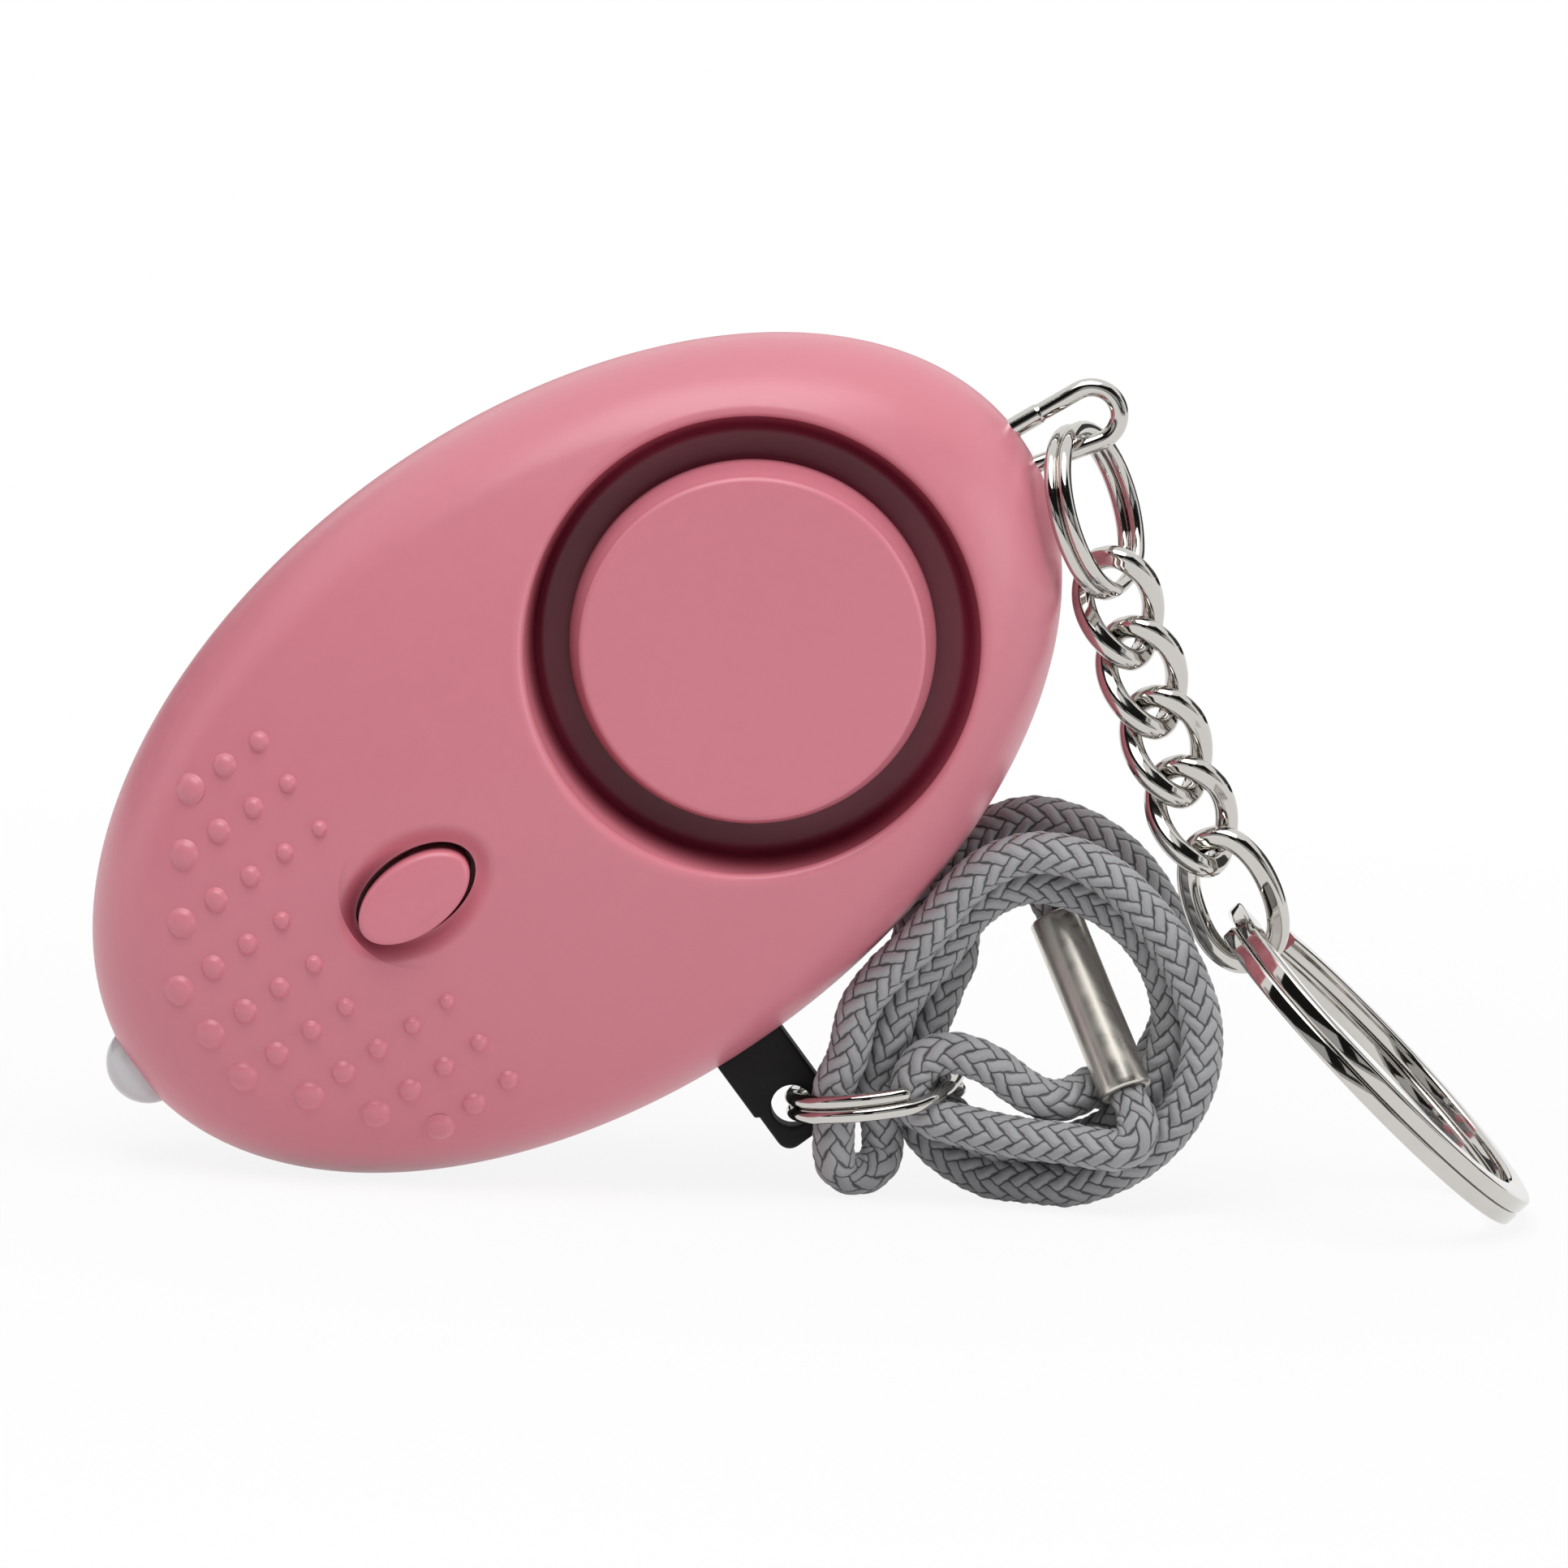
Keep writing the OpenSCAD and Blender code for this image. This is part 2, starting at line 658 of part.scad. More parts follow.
module piezo_gasket() {
    color([0.2, 0.2, 0.2])
        placed()
            translate([recess_offset, 0, gasket_low])
                difference() {
                    cylinder(r = piezo_r + 0.3, h = floor_low - gasket_low);
                    translate([0, 0, -1])
                        cylinder(r = piezo_r - 1.6, h = 4);
                }
}

module piezo_leads() {
    color([0.7, 0.1, 0.1])
        placed() {
            lead_wire([3, 2.5, plate_low], [3, 2.5, 1], [-0.8, 2.5, 1], [-0.8, 2.5, board_top]);
            lead_wire([6.2, -2.6, plate_low - 0.2], [6.2, -2.6, 0.8], [-0.8, -2.6, 0.8],
                [-0.8, -2.6, board_top]);
        }
}

module lead_wire(p, q, s, e) {
    union() {
        rod(q, p, 0.35);
        rod(s, q, 0.35);
        rod(e, s, 0.35);
        translate(q)
            sphere(r = 0.35);
        translate(s)
            sphere(r = 0.35);
    }
}

module cell_tray() {
    color([0.25, 0.25, 0.27])
        placed()
            difference() {
                union() {
                    for (p = cell_at)
                        translate([p[0], p[1], -5.6])
                            cylinder(r = cell_r + 1.5, h = 2.8);
                }
                for (p = cell_at)
                    translate([p[0], p[1], -8])
                        cylinder(r = cell_r + 0.1, h = 8);
            }
}

module button_cell(i) {
    color([0.75, 0.76, 0.78])
        placed()
            translate([cell_at[i][0], cell_at[i][1], 0])
                union() {
                    translate([0, 0, cell_low + 0.4])
                        cylinder(r = cell_r, h = cell_top - cell_low - 0.4);
                    translate([0, 0, cell_low])
                        cylinder(r = cell_r - 1, h = 0.6);
                }
}

module button_cell_1() {
    button_cell(0);
}

module button_cell_2() {
    button_cell(1);
}

module button_cell_3() {
    button_cell(2);
}

// strips that join the cells in a row
module cell_links() {
    d = cell_at[2] - cell_at[1];
    color([0.8, 0.8, 0.78])
        placed() {
            block([4.3, -9, cell_top], [8.3, 9, cell_top + 0.3]);
            translate([cell_at[1][0], cell_at[1][1], cell_low - 0.3])
                rotate([0, 0, atan2(d[1], d[0])])
                    block([-2, -1.5, 0], [norm(d) + 2, 1.5, 0.3]);
        }
}

module cell_contact_plus() {
    color([0.8, 0.8, 0.78])
        placed()
            union() {
                block([-1.9, 5, cell_low - 0.3], [8, 7, cell_low]);
                block([-1.9, 5, cell_low - 0.3], [-1.5, 7, board_low]);
            }
}

module cell_contact_minus() {
    color([0.8, 0.8, 0.78])
        placed()
            union() {
                block([-1.6, -1.5, -0.6], [19, 1.5, -0.3]);
                block([15.5, -1.5, cell_top], [18.5, 1.5, -0.4]);
                block([-1.6, -1.5, board_top], [-0.6, 1.5, -0.4]);
            }
}

module contact_block() {
    color([0.15, 0.15, 0.15])
        placed() {
            block([tab_mid - 1.6, -10.5, board_top], [tab_mid + 1.6, -7.5, -0.75]);
            block([tab_mid - 1.6, -10.5, -0.45], [tab_mid + 1.6, -7.5, 0.45]);
            block([tab_mid - 1.6, -10.5, 0.75], [tab_mid + 1.6, -7.5, 1.3]);
        }
}

module contact_leaf_lower() {
    color([0.8, 0.68, 0.35])
        placed()
            block([tab_mid - 1.2, tab_root + 3.2, -0.75], [tab_mid + 1.2, -7.5, -0.45]);
}

module contact_leaf_upper() {
    color([0.8, 0.68, 0.35])
        placed()
            block([tab_mid - 1.2, tab_root + 3.2, 0.45], [tab_mid + 1.2, -7.5, 0.75]);
}

// wire bail: two legs, a round bend, and feet turned outwards inside the shells
module wire_bail() {
    start = atan2(0.995, 0.1);
    end = atan2(-0.963, -0.27);
    up = bend_top + 7.4 * leg_up;
    low = bend_low + 6.8 * leg_low;
    route = concat([up + [-0.9, 1.6], up + [-0.8, 0.9], up + [-0.5, 0.3], up, bend_top + 3.5 * leg_up],
        [for (k = [0:12])
            let (a = start + (end - start) * k / 12) bend_at + bend_r * [cos(a), sin(a)]],
        [bend_low + 3.5 * leg_low, low, low + [-0.5, -0.3], low + [-0.8, -0.9], low + [-0.9, -1.6]]);
    points = [for (p = route) [p[0], p[1], 0]];
    t = tangents(points);
    color([0.8, 0.8, 0.82])
        placed()
            swept(points, [for (q = t) [0, 0, 1]], [for (q = t) cross(q, [0, 0, 1])],
                bail_wire / 2, 10, false);
}

module bail_split_ring() {
    color([0.8, 0.8, 0.82])
        turned(unit(bail_ring_down), unit(bail_ring_side), [body_x + bail_ring_mid[0], 0, bail_ring_mid[1]])
            rotate([0, 0, 15])
                split_ring(bail_ring_r, ring_wire, 8);
}

module chain_link_1() {
    color([0.78, 0.78, 0.8])
        chain_link(0);
}

module chain_link_2() {
    color([0.78, 0.78, 0.8])
        chain_link(1);
}

module chain_link_3() {
    color([0.78, 0.78, 0.8])
        chain_link(2);
}

module chain_link_4() {
    color([0.78, 0.78, 0.8])
        chain_link(3);
}

module chain_link_5() {
    color([0.78, 0.78, 0.8])
        chain_link(4);
}

module key_ring() {
    color([0.8, 0.8, 0.82])
        turned([cos(key_slope), 0, -sin(key_slope)], [0, 1, 0], key_mid)
            rotate([0, 0, 165])
                flat_ring(key_diameter / 2, key_width, key_turn);
}

// pull tab with its hole, and the blade that parts the contact leaves
module pull_tab() {
    color([0.1, 0.1, 0.1])
        placed()
            union() {
                difference() {
                    translate([0, 0, -tab_thick / 2])
                        linear_extrude(height = tab_thick)
                            tab_outline();
                    translate(concat(hole_at, -3))
                        cylinder(d = tab_hole, h = 6);
                }
                block([tab_mid - 1.1, tab_root + 0.6, -blade_thick / 2],
                    [tab_mid + 1.1, tab_root + 7.7, blade_thick / 2]);
            }
}

module tab_outline() {
    corner = 0.8;
    left = tab_mid - tab_width / 2;
    right = tab_mid + tab_width / 2;
    union() {
        translate([left, tab_tip + 2.8])
            square([tab_width, tab_root + 0.8 - tab_tip - 2.8]);
        translate([left + 0.25, tab_tip + corner])
            square([tab_width - 0.25, 3.4]);
        translate([left + 0.25 + corner, tab_tip])
            square([tab_width - 0.25 - 2 * corner, 3]);
        translate([left + 0.25 + corner, tab_tip + corner])
            circle(r = corner);
        translate([right - corner, tab_tip + corner])
            circle(r = corner);
    }
}

function on_table(p) = [body_x + leaned(p)[0], 0, leaned(p)[1]];

module pin_split_ring() {
    along = [cos(pin_ring_tilt), 0, sin(pin_ring_tilt)];
    color([0.8, 0.8, 0.82])
        turned(along, [0, 1, 0], on_table(hole_at) + pin_ring_r * along)
            rotate([0, 0, -36])
                split_ring(pin_ring_r, ring_wire, 8);
}

module wrist_cord_coil() {
    color([0.5, 0.5, 0.53])
        cord_stretch(0, coil_last);
}

module wrist_cord_lead() {
    color([0.5, 0.5, 0.53])
        cord_stretch(coil_last, len(cord_path) - 1);
}

module cord_ferrule() {
    color([0.75, 0.75, 0.77])
        translate(coil_mid)
            rod(ferrule_low, ferrule_up, ferrule_diameter / 2);
}

front_shell();
rear_shell();
shell_screws();
sound_cap();
light_button();
switch_plunger();
switch_body();
circuit_board();
driver_chip();
transistor();
capacitor();
coil_core();
coil_winding();
chip_resistors();
lamp();
lamp_leads();
piezo_plate();
piezo_ceramic();
piezo_gasket();
piezo_leads();
cell_tray();
button_cell_1();
button_cell_2();
button_cell_3();
cell_links();
cell_contact_plus();
cell_contact_minus();
contact_block();
contact_leaf_lower();
contact_leaf_upper();
wire_bail();
bail_split_ring();
chain_link_1();
chain_link_2();
chain_link_3();
chain_link_4();
chain_link_5();
key_ring();
pull_tab();
pin_split_ring();
wrist_cord_coil();
wrist_cord_lead();
cord_ferrule();
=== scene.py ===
"""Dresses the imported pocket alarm: shells, cap, button, lamp, wire work, pull tab and wrist cord."""

import json
import math

import bmesh
import bpy
import numpy as np
from mathutils import Matrix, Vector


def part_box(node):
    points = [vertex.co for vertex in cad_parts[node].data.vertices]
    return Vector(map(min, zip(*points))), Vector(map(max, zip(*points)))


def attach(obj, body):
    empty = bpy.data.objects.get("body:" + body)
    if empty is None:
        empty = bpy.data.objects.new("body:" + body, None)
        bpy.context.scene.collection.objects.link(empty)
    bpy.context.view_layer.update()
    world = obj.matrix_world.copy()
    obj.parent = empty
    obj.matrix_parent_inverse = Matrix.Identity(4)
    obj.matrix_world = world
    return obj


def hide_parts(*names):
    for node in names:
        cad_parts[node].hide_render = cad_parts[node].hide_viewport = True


bl_info = {
    "name": "Pocket Alarm",
    "version": (1, 0, 0),
    "blender": (4, 5, 0),
    "location": "View3D > Sidebar > Alarm",
    "description": "Builds the visible pieces of a pocket alarm around its packed frame",
    "category": "Object",
}

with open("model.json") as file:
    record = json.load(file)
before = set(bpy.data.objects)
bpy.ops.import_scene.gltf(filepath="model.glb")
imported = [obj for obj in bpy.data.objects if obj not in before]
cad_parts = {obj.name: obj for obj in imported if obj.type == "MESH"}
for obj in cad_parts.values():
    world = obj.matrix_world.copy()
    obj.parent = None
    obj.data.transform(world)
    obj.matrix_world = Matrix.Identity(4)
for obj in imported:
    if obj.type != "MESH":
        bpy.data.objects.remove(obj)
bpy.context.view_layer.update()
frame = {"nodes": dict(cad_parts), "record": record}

MM = 0.001
TILT = math.radians(38.6)
COS, SIN = math.cos(TILT), math.sin(TILT)
# sound recess in mm: place along the body, radius at the rim, draft of the wall, floor
RECESS, RECESS_R, DRAFT, RECESS_FLOOR = 13.0, 13.5, 0.6, 5.0
# the gasket is a ring round the sound recess, so its box gives the middle of the body
_low, _high = (np.array(corner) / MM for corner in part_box("piezo_gasket"))
BODY_X = (_low[0] + _high[0]) / 2 - RECESS * COS
BODY_Z = (_low[2] + _high[2]) / 2 - RECESS * SIN
HALF_L, HALF_W, HALF_D, WALL, EDGE = 32.5, 20.3, 11.5, 1.8, 8.0
BUTTON_U = -11.6
TAB = np.array([-2.05, -24.6])  # the hole of the pull tab
# painted shade: the share of each colour kept deep in a gap, and how far out of the parting plane the painted shade
# begins
PAINTED_SHADE_SHARE, PAINTED_SHADE_FRONT = (0.28, 0.09, 0.15), 0.004  # share of each colour deep in a gap, and where gaps start, in metres
# braid of the cord: columns round it, rings along it, sideways sway and lean of a stitch
COLUMNS, RINGS, SWAY, LEAN = 8, 1500, 0.2, 0.5
COIL_MID = np.array([BODY_X + 27.4, 0.0, 11.55])
UP = np.array([0.0, 0.0, 1.0])
BACK = np.array([0.0, 1.0, 0.0])


def srgb(red, green, blue):
    """Linear colour of an 8-bit screen colour, by the usual power curve of 2.4 with its linear toe."""
    c = np.array([red, green, blue]) / 255
    return tuple(np.where(c <= 0.04045, c / 12.92, ((c + 0.055) / 1.055) ** 2.4))


class AlarmSizes(bpy.types.PropertyGroup):
    """Sizes of the visible pieces, in millimetres of the real object"""

    lip: bpy.props.FloatProperty(name="Recess lip", description="Rounding of the recess rim in mm", default=0.75)
    dish: bpy.props.FloatProperty(name="Button dish", description="Depth of the dish at the button in mm", default=0.62)
    cap_round: bpy.props.FloatProperty(name="Cap edge", description="Rounding of the sound cap in mm", default=0.4)
    pip_height: bpy.props.FloatProperty(name="Pip height", description="Height of the pips in mm", default=0.4)
    stitch: bpy.props.FloatProperty(name="Stitch", description="Length of a braid stitch in mm", default=1.2)
    relief: bpy.props.FloatProperty(name="Braid relief", description="Depth of the braid in mm", default=0.17)
    cord: bpy.props.FloatProperty(name="Cord", description="Diameter of the cord in mm", default=2.5)


class AlarmColours(bpy.types.PropertyGroup):
    """Colours of the visible finishes"""

    shell: bpy.props.FloatVectorProperty(
        name="Shell", description="Pink of the shells", subtype="COLOR", default=srgb(214, 128, 142))
    button: bpy.props.FloatVectorProperty(
        name="Button", description="Pink of the cap and button", subtype="COLOR", default=srgb(216, 127, 142))
    nickel: bpy.props.FloatVectorProperty(
        name="Nickel", description="Plating of rings and chain", subtype="COLOR", default=srgb(205, 202, 197))
    cord: bpy.props.FloatVectorProperty(
        name="Cord", description="Grey of the braid", subtype="COLOR", default=srgb(166, 167, 170))
    tab: bpy.props.FloatVectorProperty(
        name="Tab", description="Black of the pull tab", subtype="COLOR", default=srgb(19, 19, 20))


class AlarmStage(bpy.types.PropertyGroup):
    """View and light"""

    rise: bpy.props.FloatProperty(
        name="Camera rise", description="Camera angle above the table", subtype="ANGLE", default=math.radians(8.5))
    reach: bpy.props.FloatProperty(
        name="Camera reach", description="Camera distance", subtype="DISTANCE", unit="LENGTH", default=1.5)
    width: bpy.props.FloatProperty(
        name="View width", description="Width seen at the object", subtype="DISTANCE", unit="LENGTH", default=0.09333)
    roll: bpy.props.FloatProperty(
        name="Roll", description="Turn of the picture", subtype="ANGLE", default=math.radians(2.6))
    key: bpy.props.FloatProperty(name="Key", description="Power of the top softbox", subtype="POWER", default=2.75)
    fill: bpy.props.FloatProperty(name="Fill", description="Power of the side fill", subtype="POWER", default=1.3)


# ---------------------------------------------------------------- shapes


def unit(v):
    """Vectors divided by their lengths."""
    return v / np.linalg.norm(v, axis=-1, keepdims=True)


def smooth(t):
    """Soft step 3t^2 - 2t^3 between 0 and 1."""
    t = np.clip(t, 0, 1)
    return t * t * (3 - 2 * t)


def placed(u, v, z):
    """Body coordinates (along, across, out of the face) leaned by the tilt onto the table."""
    u, v, z = np.broadcast_arrays(u, v, z)
    return np.stack([BODY_X + u * COS - v * SIN, -z, BODY_Z + u * SIN + v * COS], -1)


def band(rings, wrap=True, loop=False):
    """Quads between neighbouring rings of a (rows, columns, 3) grid; wrap closes columns, loop closes rows."""
    rows, cols = rings.shape[:2]
    i = np.arange(rows if loop else rows - 1)[:, None]
    j = np.arange(cols if wrap else cols - 1)[None, :]
    i2, j2 = (i + 1) % rows, (j + 1) % cols
    quads = np.stack([i * cols + j, i * cols + j2, i2 * cols + j2, i2 * cols + j], -1)
    return rings.reshape(-1, 3), [quads.reshape(-1, 4)]


def capped(rings):
    """A band whose first and last rings are closed by fans to their mid points."""
    verts, faces = band(rings)
    rows, cols = rings.shape[:2]
    j = np.arange(cols)
    k = (j + 1) % cols
    end = (rows - 1) * cols
    fans = [np.stack([k, j, np.full(cols, len(verts))], -1),
            np.stack([end + j, end + k, np.full(cols, len(verts) + 1)], -1)]
    return np.vstack([verts, rings[0].mean(0), rings[-1].mean(0)]), faces + fans


def turned(profile, count, origin, axis):
    """A profile of (radius, height) pairs turned about an axis: origin + height*axis + radius*(cos, sin)."""
    axis = unit(np.asarray(axis, float))
    side = unit(np.cross(axis, UP if abs(axis[2]) < 0.9 else BACK))
    other = np.cross(axis, side)
    a = np.linspace(0, 2 * np.pi, count, endpoint=False)
    spoke = np.cos(a)[:, None] * side + np.sin(a)[:, None] * other
    profile = np.asarray(profile, float)
    return origin + profile[:, 1, None, None] * axis + profile[:, 0, None, None] * spoke[None]


def carried(path, section, side, other):
    """A flat section carried along a path: point + x*side + y*other, one ring for each path point."""
    section = np.asarray(section)
    if section.ndim == 2:
        section = np.broadcast_to(section, (len(path),) + section.shape)
    return path[:, None] + section[..., 0, None] * side[:, None] + section[..., 1, None] * other[:, None]


def circle(radius, count):
    """Points of a round section."""
    a = np.linspace(0, 2 * np.pi, count, endpoint=False)
    return radius * np.stack([np.cos(a), np.sin(a)], -1)


def rounded_box(width, height, radius, per_corner):
    """Section of a rectangle with quarter-circle corners."""
    a = np.linspace(0, np.pi / 2, per_corner)
    quarter = np.arange(4)[:, None] * np.pi / 2 + a
    cx = np.array([1, -1, -1, 1])[:, None] * (width / 2 - radius)
    cy = np.array([1, 1, -1, -1])[:, None] * (height / 2 - radius)
    return np.stack([cx + radius * np.cos(quarter), cy + radius * np.sin(quarter)], -1).reshape(-1, 2)


def spline(points, steps):
    """Catmull-Rom curve: each span is the usual cubic of its two ends and their two neighbours."""
    p = np.asarray(points, float)
    k = np.arange(len(p) - 1)
    before, after = np.maximum(k - 1, 0), np.minimum(k + 2, len(p) - 1)
    a, b, c, e = (p[j][:, None] for j in (before, k, k + 1, after))
    t = (np.arange(steps) / steps)[None, :, None]
    curve = 0.5 * (2 * b + (c - a) * t + (2 * a - 5 * b + 4 * c - e) * t**2 + (3 * b - a - 3 * c + e) * t**3)
    return np.vstack([curve.reshape(-1, p.shape[1]), p[-1:]])


def evenly(path, count):
    """The same curve with its points at equal steps of its own length, and that length."""
    run = np.r_[0, np.cumsum(np.linalg.norm(np.diff(path, axis=0), axis=1))]
    at = np.linspace(0, run[-1], count)
    return np.stack([np.interp(at, run, path[:, k]) for k in range(path.shape[1])], -1), run[-1]


def along(path):
    """Unit tangents by central differences."""
    return unit(np.gradient(path, axis=0))


def averaged(values, count):
    """Running mean over an odd count of neighbours, with the end values held."""
    return np.convolve(np.pad(values, count // 2, "edge"), np.ones(count) / count, "valid")


def at_height(flat, z):
    """Flat points with a height, which is one number or one for each point."""
    return np.concatenate([flat, np.broadcast_to(z, len(flat))[:, None]], 1)


def oval(u, v, inset=0.0):
    """Height of the half oval over a point: a spherical crown that meets a round edge smoothly."""
    l, w, d, e = HALF_L - inset, HALF_W - inset, HALF_D - inset, EDGE - inset
    big = ((l - e) ** 2 + d * d - e * e) / (2 * (d - e))
    meet = big * math.sin(math.atan2(l - e, big - d))
    rho = np.hypot(u, v * l / w)
    crown = d - big + np.sqrt(np.maximum(big**2 - rho**2, 0))
    edge = np.sqrt(np.maximum(e**2 - (rho - (l - e)) ** 2, 0))
    return np.where(rho < meet, crown, edge)


# ---------------------------------------------------------------- pieces


def build(name, parts, finish, sharp=38):
    """One mesh of several grids: points merged, faces turned outwards, edges sharper than an angle kept."""
    verts, faces, start = [], [], 0
    for points, groups in parts:
        verts.append(points)
        for group in groups:
            faces += (group + start).tolist()
        start += len(points)
    mesh = bpy.data.meshes.new(name)
    mesh.from_pydata((np.vstack(verts) * MM).tolist(), [], faces)
    work = bmesh.new()
    work.from_mesh(mesh)
    bmesh.ops.remove_doubles(work, verts=work.verts, dist=2e-6)
    bmesh.ops.dissolve_degenerate(work, edges=work.edges, dist=1e-7)
    bmesh.ops.recalc_face_normals(work, faces=work.faces)
    work.to_mesh(mesh)
    work.free()
    shade(mesh, sharp)
    piece = bpy.data.objects.new(name, mesh)
    bpy.context.scene.collection.objects.link(piece)
    if finish is not None:
        mesh.materials.append(finish)
    return piece


def shade(mesh, sharp):
    """Smooth shading that breaks at edges sharper than an angle in degrees."""
    mesh.polygons.foreach_set("use_smooth", np.ones(len(mesh.polygons), bool))
    mesh.set_sharp_from_angle(angle=math.radians(sharp))
    mesh.update()


def cut(piece, tools, sharp):
    """Takes the tool solids out of a piece, then removes them."""
    for tool in tools:
        step = piece.modifiers.new("cut", "BOOLEAN")
        step.operation, step.object, step.solver = "DIFFERENCE", tool, "EXACT"
    graph = bpy.context.evaluated_depsgraph_get()
    mesh = bpy.data.meshes.new_from_object(piece.evaluated_get(graph))
    piece.modifiers.clear()
    old, piece.data = piece.data, mesh
    mesh.name = piece.name
    bpy.data.meshes.remove(old)
    for tool in tools:
        bpy.data.objects.remove(tool)
    if len(mesh.polygons) < 100:
        raise RuntimeError(piece.name + " was cut away")
    shade(mesh, sharp)


def hand(piece, body, slot, *nodes):
    """Gives a piece its body and hides the nodes that it stands for; its material slot is not used."""
    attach(piece, body)
    if nodes:
        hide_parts(*nodes)


def fitted(name, parts, sharp, body, slot, *nodes):
    """Builds a piece in the finish of its slot and hands it over."""
    hand(build(name, parts, FINISH[slot], sharp), body, slot, *nodes)


# ---------------------------------------------------------------- finishes


def group(name, inputs, outputs):
    """An empty shader group with its sockets; returns it with its input and output nodes."""
    tree = bpy.data.node_groups.new(name, "ShaderNodeTree")
    for label, default in inputs:
        tree.interface.new_socket(label, in_out="INPUT", socket_type="NodeSocketFloat").default_value = default
    for label in outputs:
        tree.interface.new_socket(label, in_out="OUTPUT", socket_type="NodeSocketFloat")
    return tree, tree.nodes.new("NodeGroupInput"), tree.nodes.new("NodeGroupOutput")


def here(tree):
    """The place on the piece, in metres of the shared frame."""
    return tree.nodes.new("ShaderNodeTexCoord").outputs["Object"]


def noise(tree, vector, scale, detail=2.0, rough=0.5):
    """A noise node on a vector; scale is a number or a socket."""
    node = tree.nodes.new("ShaderNodeTexNoise")
    node.inputs["Detail"].default_value = detail
    node.inputs["Roughness"].default_value = rough
    tree.links.new(vector, node.inputs["Vector"])
    if isinstance(scale, (int, float)):
        node.inputs["Scale"].default_value = scale
    else:
        tree.links.new(scale, node.inputs["Scale"])
    return node.outputs["Fac"]


def maths(tree, kind, a, b):
    """A math node on two sockets or numbers."""
    node = tree.nodes.new("ShaderNodeMath")
    node.operation = kind
    for socket, value in zip(node.inputs, (a, b)):
        if isinstance(value, (int, float)):
            socket.default_value = value
        else:
            tree.links.new(value, socket)
    return node.outputs[0]


def added(tree, a, b):
    """Sum of two sockets or numbers."""
    return maths(tree, "ADD", a, b)


def minus(tree, a, b):
    """Difference of two sockets or numbers."""
    return maths(tree, "SUBTRACT", a, b)


def times(tree, a, b):
    """Product of two sockets or numbers."""
    return maths(tree, "MULTIPLY", a, b)


def span(tree, value, low, high, to_low, to_high):
    """A clamped linear map of a value from one range to another."""
    node = tree.nodes.new("ShaderNodeMapRange")
    tree.links.new(value, node.inputs["Value"])
    for label, number in (("From Min", low), ("From Max", high), ("To Min", to_low), ("To Max", to_high)):
        node.inputs[label].default_value = number
    return node.outputs["Result"]


def make_groups():
    """Moulded Grain, Polish Marks, the painted shade of deep gaps and Handling: the effects that several finishes
    share.
    """
    tree, give, take = group("Moulded Grain", [("Grain", 5200.0)], ["Height", "Mottle"])
    place = here(tree)
    fine = noise(tree, place, give.outputs["Grain"], 3.0, 0.55)
    broad = noise(tree, place, 70.0, 2.0)
    middle = noise(tree, place, 900.0, 2.0)
    tree.links.new(added(tree, fine, times(tree, middle, 0.35)), take.inputs["Height"])
    tree.links.new(times(tree, added(tree, broad, middle), 0.5), take.inputs["Mottle"])

    tree, give, take = group("Polish Marks", [("Along", 260.0), ("Across", 5200.0)], ["Streak", "Haze"])
    place = here(tree)
    stretch = tree.nodes.new("ShaderNodeCombineXYZ")
    for axis, label in (("X", "Along"), ("Y", "Across"), ("Z", "Along")):
        tree.links.new(give.outputs[label], stretch.inputs[axis])
    scaled = tree.nodes.new("ShaderNodeVectorMath")
    scaled.operation = "MULTIPLY"
    tree.links.new(place, scaled.inputs[0])
    tree.links.new(stretch.outputs[0], scaled.inputs[1])
    tree.links.new(noise(tree, scaled.outputs[0], 1.0, 3.0, 0.6), take.inputs["Streak"])
    tree.links.new(noise(tree, place, 420.0, 3.0), take.inputs["Haze"])

    # Painted shade: a mask that is 1 deep in a round recess and 0 at its top, used to darken the colour where shade
    # falls in a gap
    tree, give, take = group(
        "Painted Gap Shade", [("X", 0.0), ("Z", 0.0), ("Reach", 0.0136), ("Top", 0.0096), ("Foot", 0.0066)], ["Mask"])
    place = tree.nodes.new("ShaderNodeSeparateXYZ")
    tree.links.new(here(tree), place.inputs[0])
    wide = minus(tree, place.outputs["X"], give.outputs["X"])
    tall = minus(tree, place.outputs["Z"], give.outputs["Z"])
    squares = added(tree, times(tree, wide, wide), times(tree, tall, tall))
    far = maths(tree, "SQRT", squares, 0.0)
    out = times(tree, place.outputs["Y"], -1.0)
    way = maths(tree, "DIVIDE", minus(tree, give.outputs["Top"], out),
                minus(tree, give.outputs["Top"], give.outputs["Foot"]))
    in_front = maths(tree, "GREATER_THAN", out, PAINTED_SHADE_FRONT)
    within = times(tree, maths(tree, "LESS_THAN", far, give.outputs["Reach"]), in_front)
    tree.links.new(times(tree, span(tree, way, 0.0, 1.0, 0.0, 1.0), within), take.inputs["Mask"])

    tree, give, take = group("Handling", [("Size", 1500.0)], ["Mask"])
    place = here(tree)
    spots = noise(tree, place, give.outputs["Size"], 4.0, 0.7)
    tree.links.new(span(tree, spots, 0.56, 0.74, 0.0, 1.0), take.inputs["Mask"])


def use(tree, name, **values):
    """Places a shared group in a material with its own values."""
    node = tree.nodes.new("ShaderNodeGroup")
    node.node_tree = bpy.data.node_groups[name]
    for label, value in values.items():
        node.inputs[label].default_value = value
    return node


def tint(tree, factor, dark, light):
    """Colour between two colours by a factor."""
    node = tree.nodes.new("ShaderNodeMix")
    node.data_type = "RGBA"
    node.inputs["A"].default_value = (*dark, 1)
    node.inputs["B"].default_value = (*light, 1)
    tree.links.new(factor, node.inputs["Factor"])
    return node.outputs["Result"]


